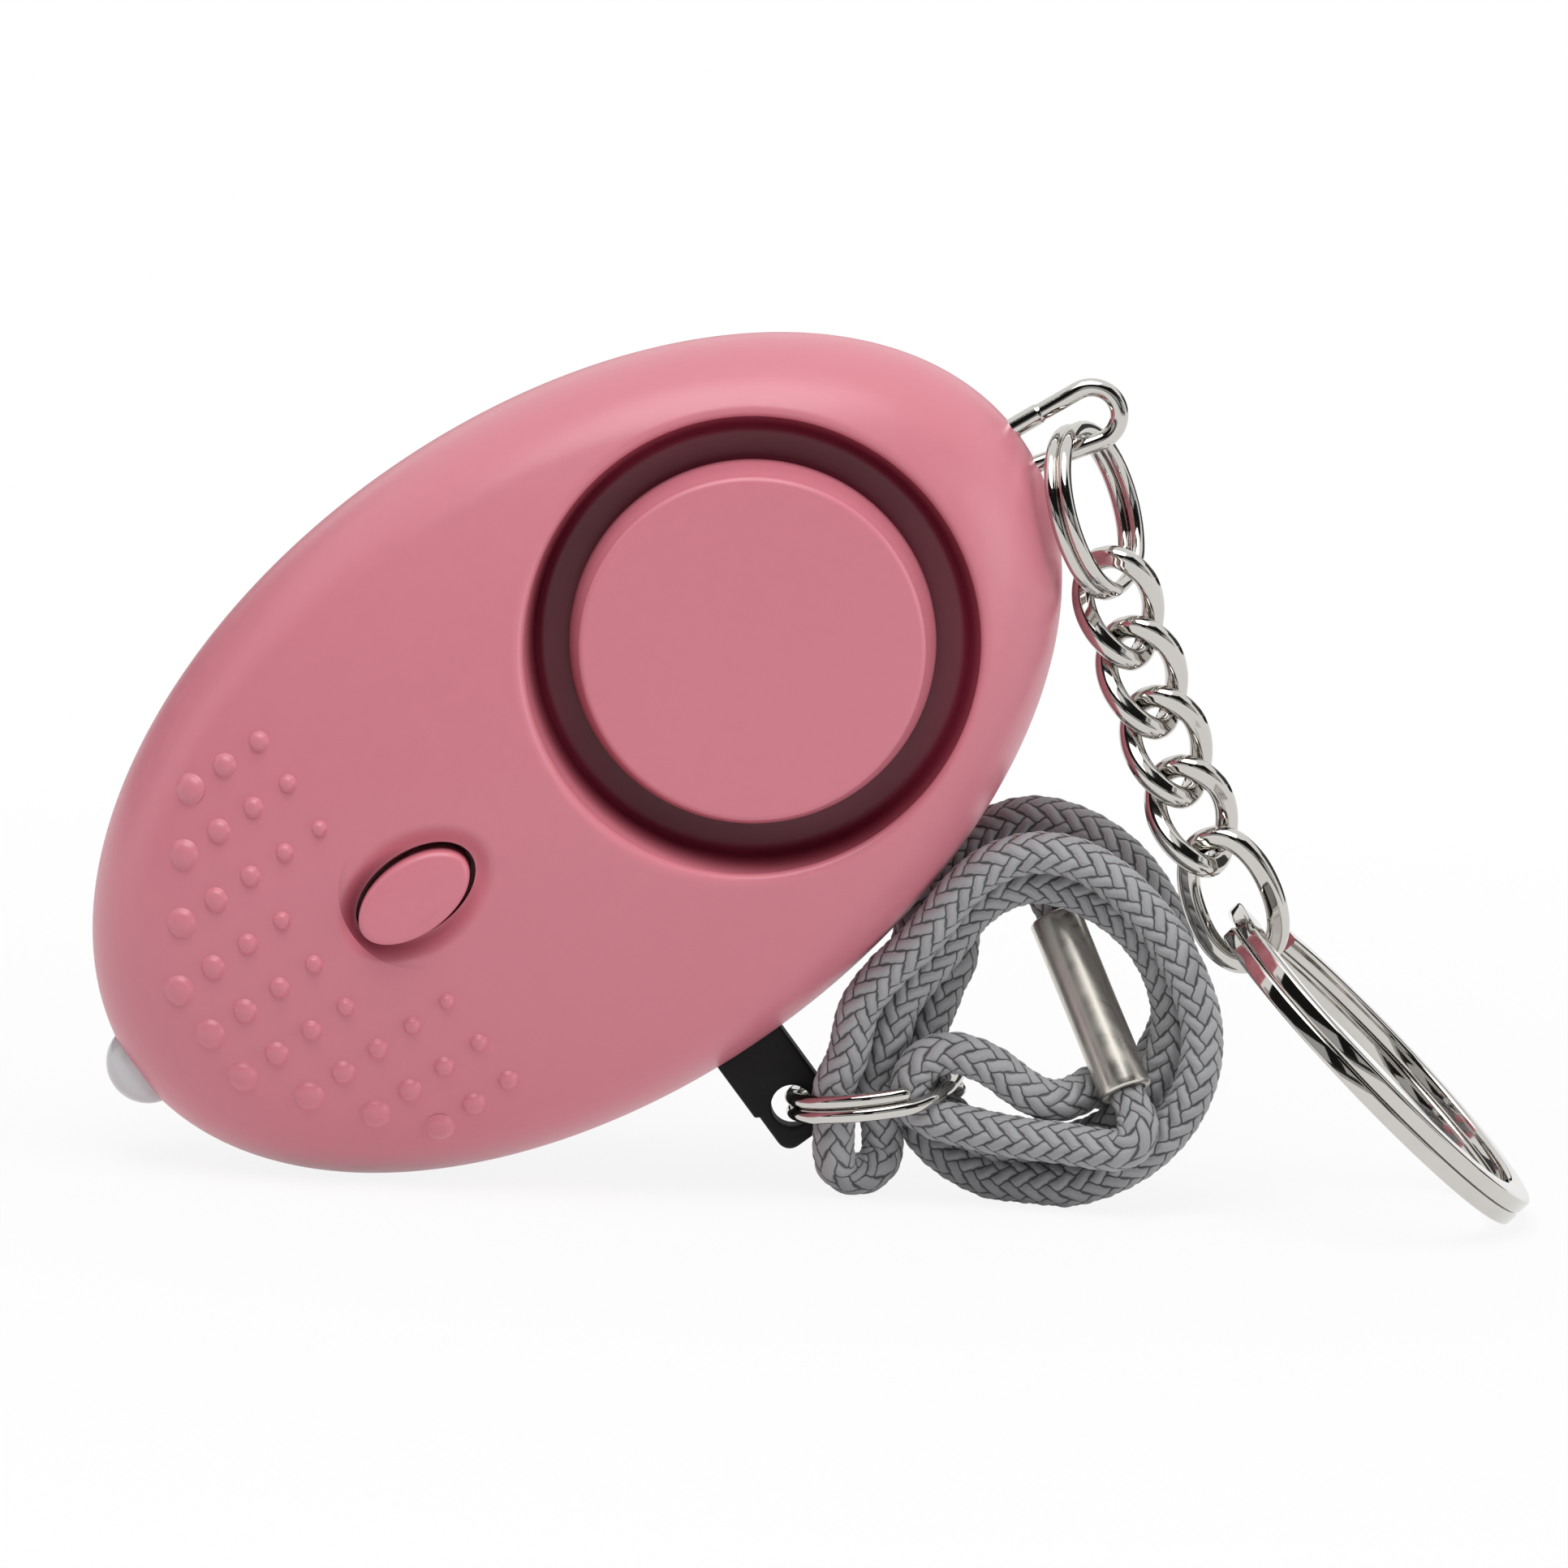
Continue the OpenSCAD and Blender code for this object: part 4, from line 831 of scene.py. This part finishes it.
class ALARM_OT_shells(bpy.types.Operator):
    """Front shell with recess, dish and button hole, rear shell with screw wells, and the pips"""

    bl_idname = "alarm.shells"
    bl_label = "Shells"

    SPLIT = -4.0  # where the front's grid is divided in two
    SCREWS = ((-10, 13), (-10, -13), (4, 15.4), (4, -15.4))

    def execute(self, context):
        sizes = context.scene.alarm_sizes
        pink = FINISH["pink_shell"]
        front = build("front_case", self.front(sizes), pink, 32)
        cut(front, self.slots(), 32)
        hand(front, "alarm", "pink_shell", "front_shell")
        rear = build("rear_case", self.rear(), pink, 32)
        cut(rear, self.slots() + self.wells(), 32)
        hand(rear, "alarm", "pink_shell", "rear_shell")
        fitted("screw_bosses", self.bosses(), 32, "alarm", "pink_shell")
        fitted("face_pips", self.pips(sizes), 60, "alarm", "pink_shell")
        return {"FINISHED"}

    def edge(self, inset, sign, count, mids):
        """Boundary of one half of the oval: its arc from the split line round the end, then the split line back."""
        l, w = HALF_L - inset, HALF_W - inset
        stop = math.acos(self.SPLIT / l)
        t = np.linspace(-stop, stop, count) if sign > 0 else np.linspace(stop, 2 * np.pi - stop, count)
        arc = np.stack([l * np.cos(t), w * np.sin(t)], -1)
        v = sign * w * math.sin(stop) * np.cos(np.pi * np.arange(1, mids + 1) / (mids + 1))
        return np.vstack([arc, np.stack([np.full(mids, self.SPLIT), v], -1)])

    def skin(self, hole, rim, inset, near, steps, reach, drop):
        """Grid from a hole to a boundary along straight rays: close rings over the first reach millimetres, then
        rings that crowd towards the boundary; height is the oval's, less a drop that depends on the way gone."""
        gap = np.linalg.norm(rim - hole, axis=1)[None, :, None]
        x = np.linspace(0, 1, steps)[1:, None, None]
        way = np.concatenate([near[:, None, None] + 0 * gap, reach + (gap - reach) * (1 - (1 - x) ** 2)])
        flat = hole[None] + (rim - hole)[None] * (way / gap)
        z = oval(flat[..., 0], flat[..., 1], inset) - drop(way[..., 0])
        return np.concatenate([flat, z[..., None]], -1)

    def front(self, sizes):
        """Outer and inner skins of both halves, the recess, the button hole and the parting rim."""
        count, mids, parts = 330, 110, []
        quarter = np.linspace(0, np.pi / 2, 13)
        lip = sizes.lip
        near_lip = lip * (1 - np.cos(quarter))
        near_dish = np.linspace(0, 1.6, 15)
        for sign in (1, -1):
            rim, inner = self.edge(0.0, sign, count, mids), self.edge(WALL, sign, count, mids)
            if sign > 0:
                mid = np.array([RECESS, 0.0])
                out = unit(rim - mid)
                hole, back = mid + RECESS_R * out, mid + 15.0 * unit(inner - mid)
                top = self.skin(hole, rim, 0.0, near_lip, 56, lip,
                                lambda w: lip - np.sqrt(np.maximum(lip**2 - np.maximum(lip - w, 0) ** 2, 0)))
            else:
                mid = np.array([BUTTON_U, 0.0])
                hole, back = self.opening(rim, mid), self.opening(inner, mid)
                top = self.skin(hole, rim, 0.0, near_dish, 60, 1.6,
                                lambda w: sizes.dish * (1 - smooth(w / 1.35)))
            low = self.skin(back, inner, WALL, np.array([0.0]), 12, 0.0, lambda w: 0 * w)
            parts += [self.flat(top), self.flat(low)]
            pinch = rim[:count] - 0.1 * unit(rim[:count] * [1, (HALF_L / HALF_W) ** 2])
            seam = np.stack([top[-1, :count], at_height(pinch, 0.0), at_height(inner[:count], 0.0)])
            parts.append(self.flat(seam, False))
            if sign > 0:
                parts += self.recess(top[0], low[0], mid, out)
            else:
                wall = np.linspace(0, 1, 8)[:, None, None]
                foot = at_height(hole, low[0][:, 2])
                parts += [self.flat(top[0] * (1 - wall) + foot * wall), self.flat(np.stack([foot, low[0]]))]
        return parts

    def opening(self, rim, mid):
        """Points of the button hole that lie on the rays to a boundary."""
        a, b = 4.02, 2.42
        d = rim - mid
        t = np.arctan2(d[:, 1] / b, d[:, 0] / a)
        return mid + np.stack([a * np.cos(t), b * np.sin(t)], -1)

    def recess(self, rim, under, mid, out):
        """Recess wall, its rounded foot and floor, and the boss under it down to the floor's underside."""
        foot, thick, top = 0.6, 1.6, rim[:, 2]
        narrow = RECESS_R - DRAFT
        floor = [rim]
        floor += [at_height(mid + (RECESS_R - DRAFT * f) * out, top + (RECESS_FLOOR + foot - top) * f)
                  for f in np.linspace(0, 1, 7)[1:]]
        floor += [at_height(mid + (narrow - foot * (1 - np.cos(a))) * out, RECESS_FLOOR + foot - foot * np.sin(a))
                  for a in np.linspace(0, np.pi / 2, 6)[1:]]
        floor += [at_height(mid + r * out, RECESS_FLOOR) for r in (11.0, 8.0, 4.0, 0.5)]
        ring = unit(under[:, :2] - mid)
        lower = [under] + [at_height(mid + r * ring, RECESS_FLOOR - thick) for r in (15.0, 8.0, 0.5)]
        parts = [self.flat(np.stack(rows)) for rows in (floor, lower)]
        for end in (floor[-1], lower[-1]):
            parts.append(self.flat(np.stack([end, np.broadcast_to(end.mean(0), end.shape)])))
        return parts

    def flat(self, grid, wrap=True):
        """A grid in body coordinates as placed points and faces."""
        return band(placed(*np.moveaxis(grid, -1, 0)), wrap)

    def rear(self):
        """Rear half: rings that crowd to the edge, outside and inside, joined by the parting rim."""
        t = np.linspace(0, 2 * np.pi, 420, endpoint=False)
        x = np.linspace(0, 1, 62)[1:, None]
        share = 1 - (1 - x) ** 2

        def half(inset, share):
            u, v = share * (HALF_L - inset) * np.cos(t), share * (HALF_W - inset) * np.sin(t)
            return np.stack([u, v, -oval(u, v, inset)], -1)

        outer, inner = half(0.0, share), half(WALL, share[::4])
        rim, edge = outer[-1], half(WALL, np.ones((1, 1)))[0]
        pinch = rim - at_height(0.1 * unit(rim[:, :2] * [1, (HALF_L / HALF_W) ** 2]), 0.0)
        inner = np.concatenate([inner[inner[:, 0, 0] < edge[0, 0] - 1e-6], edge[None]])
        loops = np.concatenate([outer, pinch[None], inner[::-1]])
        return [capped(placed(*np.moveaxis(loops, -1, 0)))]

    def slots(self):
        """Cutter for the slot of the pull tab at the parting plane."""
        box = rounded_box(4.7, 2.2, 0.25, 4)
        rings = np.stack([placed(TAB[0] + box[:, 0], v, box[:, 1]) for v in (-25.0, -17.5)])
        return [build("slot", [capped(rings)], None)]

    def wells(self):
        """Cutters for the four screw wells."""
        return [build("well", [capped(turned([(1.65, -20.0), (1.65, -3.1)], 48, placed(u, v, 0.0), -BACK))], None)
                for u, v in self.SCREWS]

    def bosses(self):
        """Cups under the wells: each a turned wall with a floor that the screw passes."""
        parts = []
        for u, v in self.SCREWS:
            top = float(-oval(np.array(u), np.array(v)) + 0.7)
            loop = [(1.66, top), (1.66, -3.0), (0.85, -3.0), (0.85, -1.8), (2.2, -1.8), (2.2, top)]
            parts.append(band(turned(loop, 48, placed(u, v, 0.0), -BACK), loop=True))
        return parts

    def pips(self, sizes):
        """Round pips in columns: dome of height h(1 - s^2)^0.62 over a small foot, along the shell's own normal."""
        parts = []
        a = np.linspace(0, 2 * np.pi, 28, endpoint=False)
        s = np.array([1.22, 1.1, 1.02, 0.96, 0.86, 0.72, 0.55, 0.36, 0.16])
        lift = np.where(s >= 1.02, 0.14 * np.maximum(1.22 - s, 0) / 0.2 - 0.05, 0)
        tall = np.where(s > 1.0, lift, 0.1 + (sizes.pip_height - 0.1) * np.maximum(1 - s**2, 0) ** 0.62)
        for row in range(-4, 5):
            first, last = (2, 5) if abs(row) < 2 else (0, 6 - abs(row))
            j = np.arange(first, last + 1)
            u = -14 - 2.55 * j
            v = row * 3.2 * (0.98 if abs(row) == 4 else 1.0) + 0 * u
            radius = 0.8 * np.interp(last - j, [0, 1, 2, 3, 4], [1, 0.81, 0.69, 0.6, 0.53])
            step = 1e-3
            slope_u = (oval(u + step, v) - oval(u - step, v)) / (2 * step)
            slope_v = (oval(u, v + step) - oval(u, v - step)) / (2 * step)
            out = unit(np.stack([-slope_u, -slope_v, np.ones_like(u)], -1))
            side = unit(np.cross([0.0, 1.0, 0.0], out))
            other = np.cross(out, side)
            for k in range(len(j)):
                centre = np.array([u[k], v[k], float(oval(u[k], v[k]))])
                round_ = np.cos(a)[:, None] * side[k] + np.sin(a)[:, None] * other[k]
                rings = centre + (radius[k] * s)[:, None, None] * round_[None] + tall[:, None, None] * out[k]
                parts.append(capped(placed(*np.moveaxis(rings, -1, 0))))
        return parts


class ALARM_OT_fittings(bpy.types.Operator):
    """Sound cap, light button, lamp and pull tab"""

    bl_idname = "alarm.fittings"
    bl_label = "Fittings"

    def execute(self, context):
        sizes = context.scene.alarm_sizes
        fitted("cap_disc", self.cap(sizes), 40, "alarm", "pink_button", "sound_cap")
        fitted("button_oval", self.button(), 40, "button", "pink_button", "light_button")
        lens, cup = self.lamp()
        fitted("lamp_lens", lens, 50, "alarm", "clear_lens", "lamp")
        fitted("lamp_cup", cup, 40, "alarm", "tinned_wire")
        fitted("tab_blade", self.tab(), 40, "pull_pin", "black_plastic", "pull_tab")
        return {"FINISHED"}

    def cap(self, sizes):
        """Disc with a slightly raised face, a small round edge and a sloped side, on four short legs."""
        r, top, e = 10.3, 10.0, sizes.cap_round
        a = np.linspace(0, np.pi / 2, 14)
        x = np.linspace(0.03, 1, 12)
        face = np.stack([x * (r - e), top - 0.12 * x**2], -1)
        edge = np.stack([r - e + e * np.sin(a), top - 0.12 - e + e * np.cos(a)], -1)
        wall = [(r + 0.1, 9.2), (r + 0.3, 8.2), (r + 0.5, 7.2), (10.9, 6.4), (10.8, 6.2), (6.0, 6.2), (0.5, 6.2)]
        at = placed(RECESS, 0.0, 0.0)
        parts = [capped(turned(np.vstack([face, edge[1:], wall]), 160, at, -BACK))]
        for k in range(4):
            leg = placed(RECESS + 8 * math.cos(k * np.pi / 2), 8 * math.sin(k * np.pi / 2), 0.0)
            parts.append(capped(turned([(1.1, 5.0), (1.1, 6.4)], 24, leg, -BACK)))
        return parts

    def button(self):
        """Oval stud: flat top with a round edge, straight wall, and a wider foot under the shell."""
        a = np.linspace(0, np.pi / 2, 9)
        e = 0.42
        t = np.linspace(0, 2 * np.pi, 120, endpoint=False)
        inset = np.r_[3.0, 2.2, 1.2, 0.7, e - e * np.sin(a), 0.0, 0.0, -0.9, -0.9]
        z = np.r_[11.68, 11.67, 11.65, 11.63, 11.6 - e + e * np.cos(a), 9.5, 7.8, 7.8, 7.0]
        half_u = np.maximum(3.75 - inset, 0.05)[:, None]
        half_v = np.maximum(2.15 - inset * np.where(inset > 0.8, 0.6, 1.0), 0.03)[:, None]
        rings = placed(BUTTON_U - 0.18 + half_u * np.cos(t), half_v * np.sin(t) - 0.1, z[:, None])
        return [capped(rings)]

    def lamp(self):
        """Lens: half ball, barrel and flange about the body's long axis; cup: a small cone with a rolled rim."""
        a = np.linspace(0.03, np.pi / 2, 20)
        tip, r = -HALF_L - 1.65, 2.5
        dome = np.stack([r * np.sin(a), tip + r - r * np.cos(a)], -1)
        back = tip + r + 4.6
        rest = np.array([(r, tip + r + 1.5), (r, back - 0.1), (r + 0.4, back), (r + 0.4, back + 1), (0.3, back + 1)])
        axis = np.array([COS, 0.0, SIN])
        at = placed(0.0, 0.0, 0.0)
        cone = np.array([(0.7, 4.4), (1.75, 3.1), (1.95, 3.05), (1.95, 3.25), (1.0, 4.8), (0.3, 4.8), (0.3, 4.4)])
        die = np.array([(0.3, 4.0), (0.3, 4.35)])
        cone[:, 1] += tip
        die[:, 1] += tip
        return ([capped(turned(np.vstack([dome, rest]), 64, at, axis))],
                [band(turned(cone, 48, at, axis), loop=True), capped(turned(die, 12, at, axis))])

    def tab(self):
        """Tab: for each direction from its hole, a loop over the hole's wall, the face, the rounded outline and the
        other face; the blade is a thin rounded bar with a narrowed nose."""
        h, e, corner, notch, hole = 1.0, 0.28, 0.85, 0.25, 1.25
        left, right, tip, root = -4.3, 0.2, -26.8, -19.4
        c = np.linspace(0, np.pi / 2, 8)
        wide, tall = corner * np.sin(c), tip + corner - corner * np.cos(c)
        low_left = np.stack([left + notch + corner - wide, tall], -1)[::-1]
        low_right = np.stack([right - corner + wide, tall], -1)
        upper = [(right, root), (left, root), (left, -23.9), (left + notch, -24.05)]
        outline = np.vstack([low_left, low_right, upper])
        steps = evenly(np.vstack([outline, outline[:1]]), 2400)[0]
        d = steps - TAB
        angle = np.unwrap(np.arctan2(d[:, 1], d[:, 0]))
        order = np.argsort(angle)
        t = np.linspace(angle.min(), angle.min() + 2 * np.pi, 240, endpoint=False)
        reach = np.interp(t, angle[order], np.linalg.norm(d, axis=1)[order], period=2 * np.pi)
        out = np.stack([np.cos(t), np.sin(t)], -1)
        a = np.linspace(0, np.pi / 2, 6)
        rim = hole + 0.12
        loop = [(hole, -h + 0.1), (hole, h - 0.1)]
        loop += [(rim + f * (reach - e - rim), h) for f in (0.0, 0.3, 0.6)]
        loop += [(reach - e + e * np.sin(x), h - e + e * np.cos(x)) for x in a]
        loop += [(reach - e + e * np.cos(x), -h + e - e * np.sin(x)) for x in a]
        loop += [(rim + f * (reach - e - rim), -h) for f in (0.6, 0.3, 0.0)]
        rings = np.stack([placed(TAB[0] + r * out[:, 0], TAB[1] + r * out[:, 1], z) for r, z in loop])
        bar = rounded_box(2.2, 0.8, 0.2, 4)
        nose = np.array([(-20.2, 1.0), (-13.1, 1.0), (-12.7, 0.85), (-12.5, 0.6)])
        blade = np.stack([placed(TAB[0] + k * bar[:, 0], v, k * bar[:, 1]) for v, k in nose])
        return [band(rings, loop=True), capped(blade)]


class ALARM_OT_wirework(bpy.types.Operator):
    """Bail, split rings, chain links and key ring"""

    bl_idname = "alarm.wirework"
    bl_label = "Wire Work"

    def execute(self, context):
        fitted("bail_loop", self.bail(), 60, "alarm", "nickel_wire", "wire_bail")
        bend = placed(36.7, -1.55, 0.0)
        middle = bend + np.array([0.451, 0.0, -5.73])
        down, side = unit(np.array([0.34, 0, -0.94])), np.array([0.329, 0.937, 0.119])
        bail_ring = self.split_ring(middle, down, side, 4.95, 0.85, 15)
        fitted("bail_ring_coil", bail_ring, 50, "bail_ring", "nickel_wire", "bail_split_ring")
        lean = math.radians(10)
        way = np.array([math.cos(lean), 0, math.sin(lean)])
        pin_ring = self.split_ring(placed(*TAB, 0.0) + 5 * way, way, BACK, 5.0, 0.85, -36)
        fitted("pin_ring_coil", pin_ring, 50, "wrist_strap", "nickel_wire", "pin_split_ring")
        offsets = ((1.8, -5.75), (3.4, -9.85), (5.05, -13.95), (6.75, -18.05), (9.3, -22.95))
        ways = ((0.34, -0.94), (0.36, -0.93), (0.39, -0.92), (0.41, -0.91), (0.4, -0.917))
        for k, ((dx, dz), way) in enumerate(zip(offsets, ways), 1):
            shape = (3.9, 2.4, -12, 12) if k == 5 else (3.15, 2.05, 15, 45)
            loop = self.link(middle + np.array([dx, 0, dz]), way, *shape)
            fitted("curb_link_%d" % k, loop, 50, "link_%d" % k, "nickel_link", "chain_link_%d" % k)
        hang = middle + np.array([dx + 0.454, 0, dz - 1.434])
        fitted("key_ring_band", self.key_ring(hang), 40, "key_ring", "nickel_wire", "key_ring")
        return {"FINISHED"}

    def bail(self):
        """Hairpin of round wire: feet turned out inside the shells, two legs and a half-round bend; the upper leg
        is a little thicker near the shell, up to a step."""
        bend, r = np.array([36.7, -1.55]), 1.65
        leg_up, leg_low = np.array([-0.995, 0.1]), np.array([-0.963, 0.27])
        top, low = bend + r * np.array([0.1, 0.995]), bend + r * np.array([-0.27, -0.963])
        a = np.linspace(math.atan2(0.995, 0.1), math.atan2(-0.963, -0.27), 13)
        arc = bend + r * np.stack([np.cos(a), np.sin(a)], -1)
        up_end, low_end = top + 7.4 * leg_up, low + 6.8 * leg_low
        f = np.linspace(1, 0, 8)[:, None]
        route = np.vstack([up_end + [-0.9, 1.6], up_end + [-0.8, 0.9], up_end + [-0.45, 0.25],
                           top + f[:-1] * 7.0 * leg_up, arc, low + (1 - f[1:]) * 6.4 * leg_low,
                           low_end + [-0.45, -0.25], low_end + [-0.8, -0.9], low_end + [-0.9, -1.6]])
        flat, _ = evenly(spline(route, 10), 420)
        path = placed(flat[:, 0], flat[:, 1], 0.0)
        step = 1 + 0.14 * (1 - smooth((flat[:, 0] - 34.2) / 0.16)) * (flat[:, 1] > -1.0) * (flat[:, 0] < 36)
        section = circle(0.55, 28)[None] * step[:, None, None]
        side = np.broadcast_to(BACK, path.shape)
        return [capped(carried(path, section, side, np.cross(along(path), side)))]

    def wind(self, middle, x, y, radius, ramp, rise, turn):
        """Path and spokes of a two-turn ring: a circle in x and y whose height along x cross y climbs from one turn to
        the other on a ramp, given in degrees."""
        t = np.arange(30, 690.1, 2.0)
        level = rise * (2 * smooth((t - 360) / ramp + 0.5) - 1)
        a = np.radians(t + turn)
        spoke = np.cos(a)[:, None] * x + np.sin(a)[:, None] * y
        return middle + radius * spoke + level[:, None] * np.cross(x, y), spoke

    def split_ring(self, middle, x, y, radius, wire, turn):
        """Round wire wound twice about z = x cross y, with rounded cut ends."""
        x, y = unit(x), unit(y - (y @ unit(x)) * unit(x))
        path, spoke = self.wind(middle, x, y, radius, 60, 0.505 * wire, turn)
        swell = np.ones(len(path))
        swell[[0, -1]], swell[[1, -2]] = 0.8, 0.97
        section = circle(wire / 2, 22)[None] * swell[:, None, None]
        return [capped(carried(path, section, np.broadcast_to(np.cross(x, y), path.shape), spoke))]

    def link(self, middle, way, half, wide, spin, twist):
        """Curb link: an oval loop whose plane turns along its length, of round wire a little flattened."""
        t = unit(np.array([way[0], 0, way[1]]))
        side = np.array([-t[2], 0, t[0]])
        a = np.linspace(0, 2 * np.pi, 132, endpoint=False)
        ca, sa = np.cos(a), np.sin(a)
        x, y = wide * np.sign(ca) * np.abs(ca) ** 0.84, half * np.sign(sa) * np.abs(sa) ** 0.92
        f = np.radians(spin + twist * y / half)
        across = np.cos(f)[:, None] * side + np.sin(f)[:, None] * BACK
        path = middle + y[:, None] * t + x[:, None] * across
        tangent = unit(np.roll(path, -1, 0) - np.roll(path, 1, 0))
        flank = unit(np.cross(across, t[None]))
        out = unit(np.cross(tangent, flank))
        flank = np.cross(out, tangent)
        b = np.linspace(0, 2 * np.pi, 28, endpoint=False)
        section = 0.69 * np.stack([np.clip(1.02 * np.cos(b), -0.9, 0.9), np.sin(b)], -1)
        return [band(carried(path, section, flank, out), loop=True)]

    def key_ring(self, hang):
        """Flat band with round edges wound twice; it hangs in the last link and its low end rests on the table."""
        diameter, width, thick = 25.0, 1.8, 1.0
        far = diameter - width / 2
        slope = math.asin((hang[2] - 0.03) / math.hypot(far, thick)) - math.atan2(thick, far)
        x = np.array([math.cos(slope), 0, -math.sin(slope)])
        radius = diameter / 2 - width / 2
        path, spoke = self.wind(hang + radius * x, x, BACK, radius, 45, 0.505 * thick, 165)
        section = rounded_box(width, thick, 0.22, 6)
        return [capped(carried(path, section, spoke, np.broadcast_to(np.cross(x, BACK), path.shape)))]


class ALARM_OT_inside(bpy.types.Operator):
    """Finishes for the inner pieces that keep their own solids"""

    bl_idname = "alarm.inside"
    bl_label = "Inside"

    def execute(self, context):
        slots = {part["node"]: part["material_slot"] for part in frame["record"]["subparts"]}
        for name, node in frame["nodes"].items():
            if node.hide_render:
                continue
            if slots[name] not in FINISH:
                raise RuntimeError("no finish for " + slots[name])
            node.data.materials.clear()
            node.data.materials.append(FINISH[slots[name]])
        return {"FINISHED"}


class ALARM_PT_panel(bpy.types.Panel):
    """Lists the sizes, colours and steps of the alarm"""

    bl_idname = "ALARM_PT_panel"
    bl_label = "Pocket Alarm"
    bl_space_type = "VIEW_3D"
    bl_region_type = "UI"
    bl_category = "Alarm"

    def draw(self, context):
        for settings in ("alarm_sizes", "alarm_colours", "alarm_stage"):
            holder = getattr(context.scene, settings)
            for key in holder.__annotations__:
                self.layout.prop(holder, key)
        for step in STEPS:
            self.layout.operator(step.bl_idname)


GROUPS = {"alarm_sizes": AlarmSizes, "alarm_colours": AlarmColours, "alarm_stage": AlarmStage}
STEPS = (ALARM_OT_stage, ALARM_OT_cord, ALARM_OT_shells, ALARM_OT_fittings, ALARM_OT_wirework, ALARM_OT_inside)


def register():
    """Registers the settings, the steps and the panel."""
    for kind in (*GROUPS.values(), *STEPS, ALARM_PT_panel):
        bpy.utils.register_class(kind)
    for name, kind in GROUPS.items():
        setattr(bpy.types.Scene, name, bpy.props.PointerProperty(type=kind))


def unregister():
    """Takes them out again."""
    for name in GROUPS:
        delattr(bpy.types.Scene, name)
    for kind in reversed((*GROUPS.values(), *STEPS, ALARM_PT_panel)):
        bpy.utils.unregister_class(kind)


def main():
    """Makes the finishes, then every piece in order."""
    register()
    make_finishes(bpy.context.scene.alarm_colours, bpy.context.scene.alarm_sizes)
    for step in STEPS:
        space, name = step.bl_idname.split(".")
        getattr(getattr(bpy.ops, space), name)()


if __name__ == "__main__":
    main()
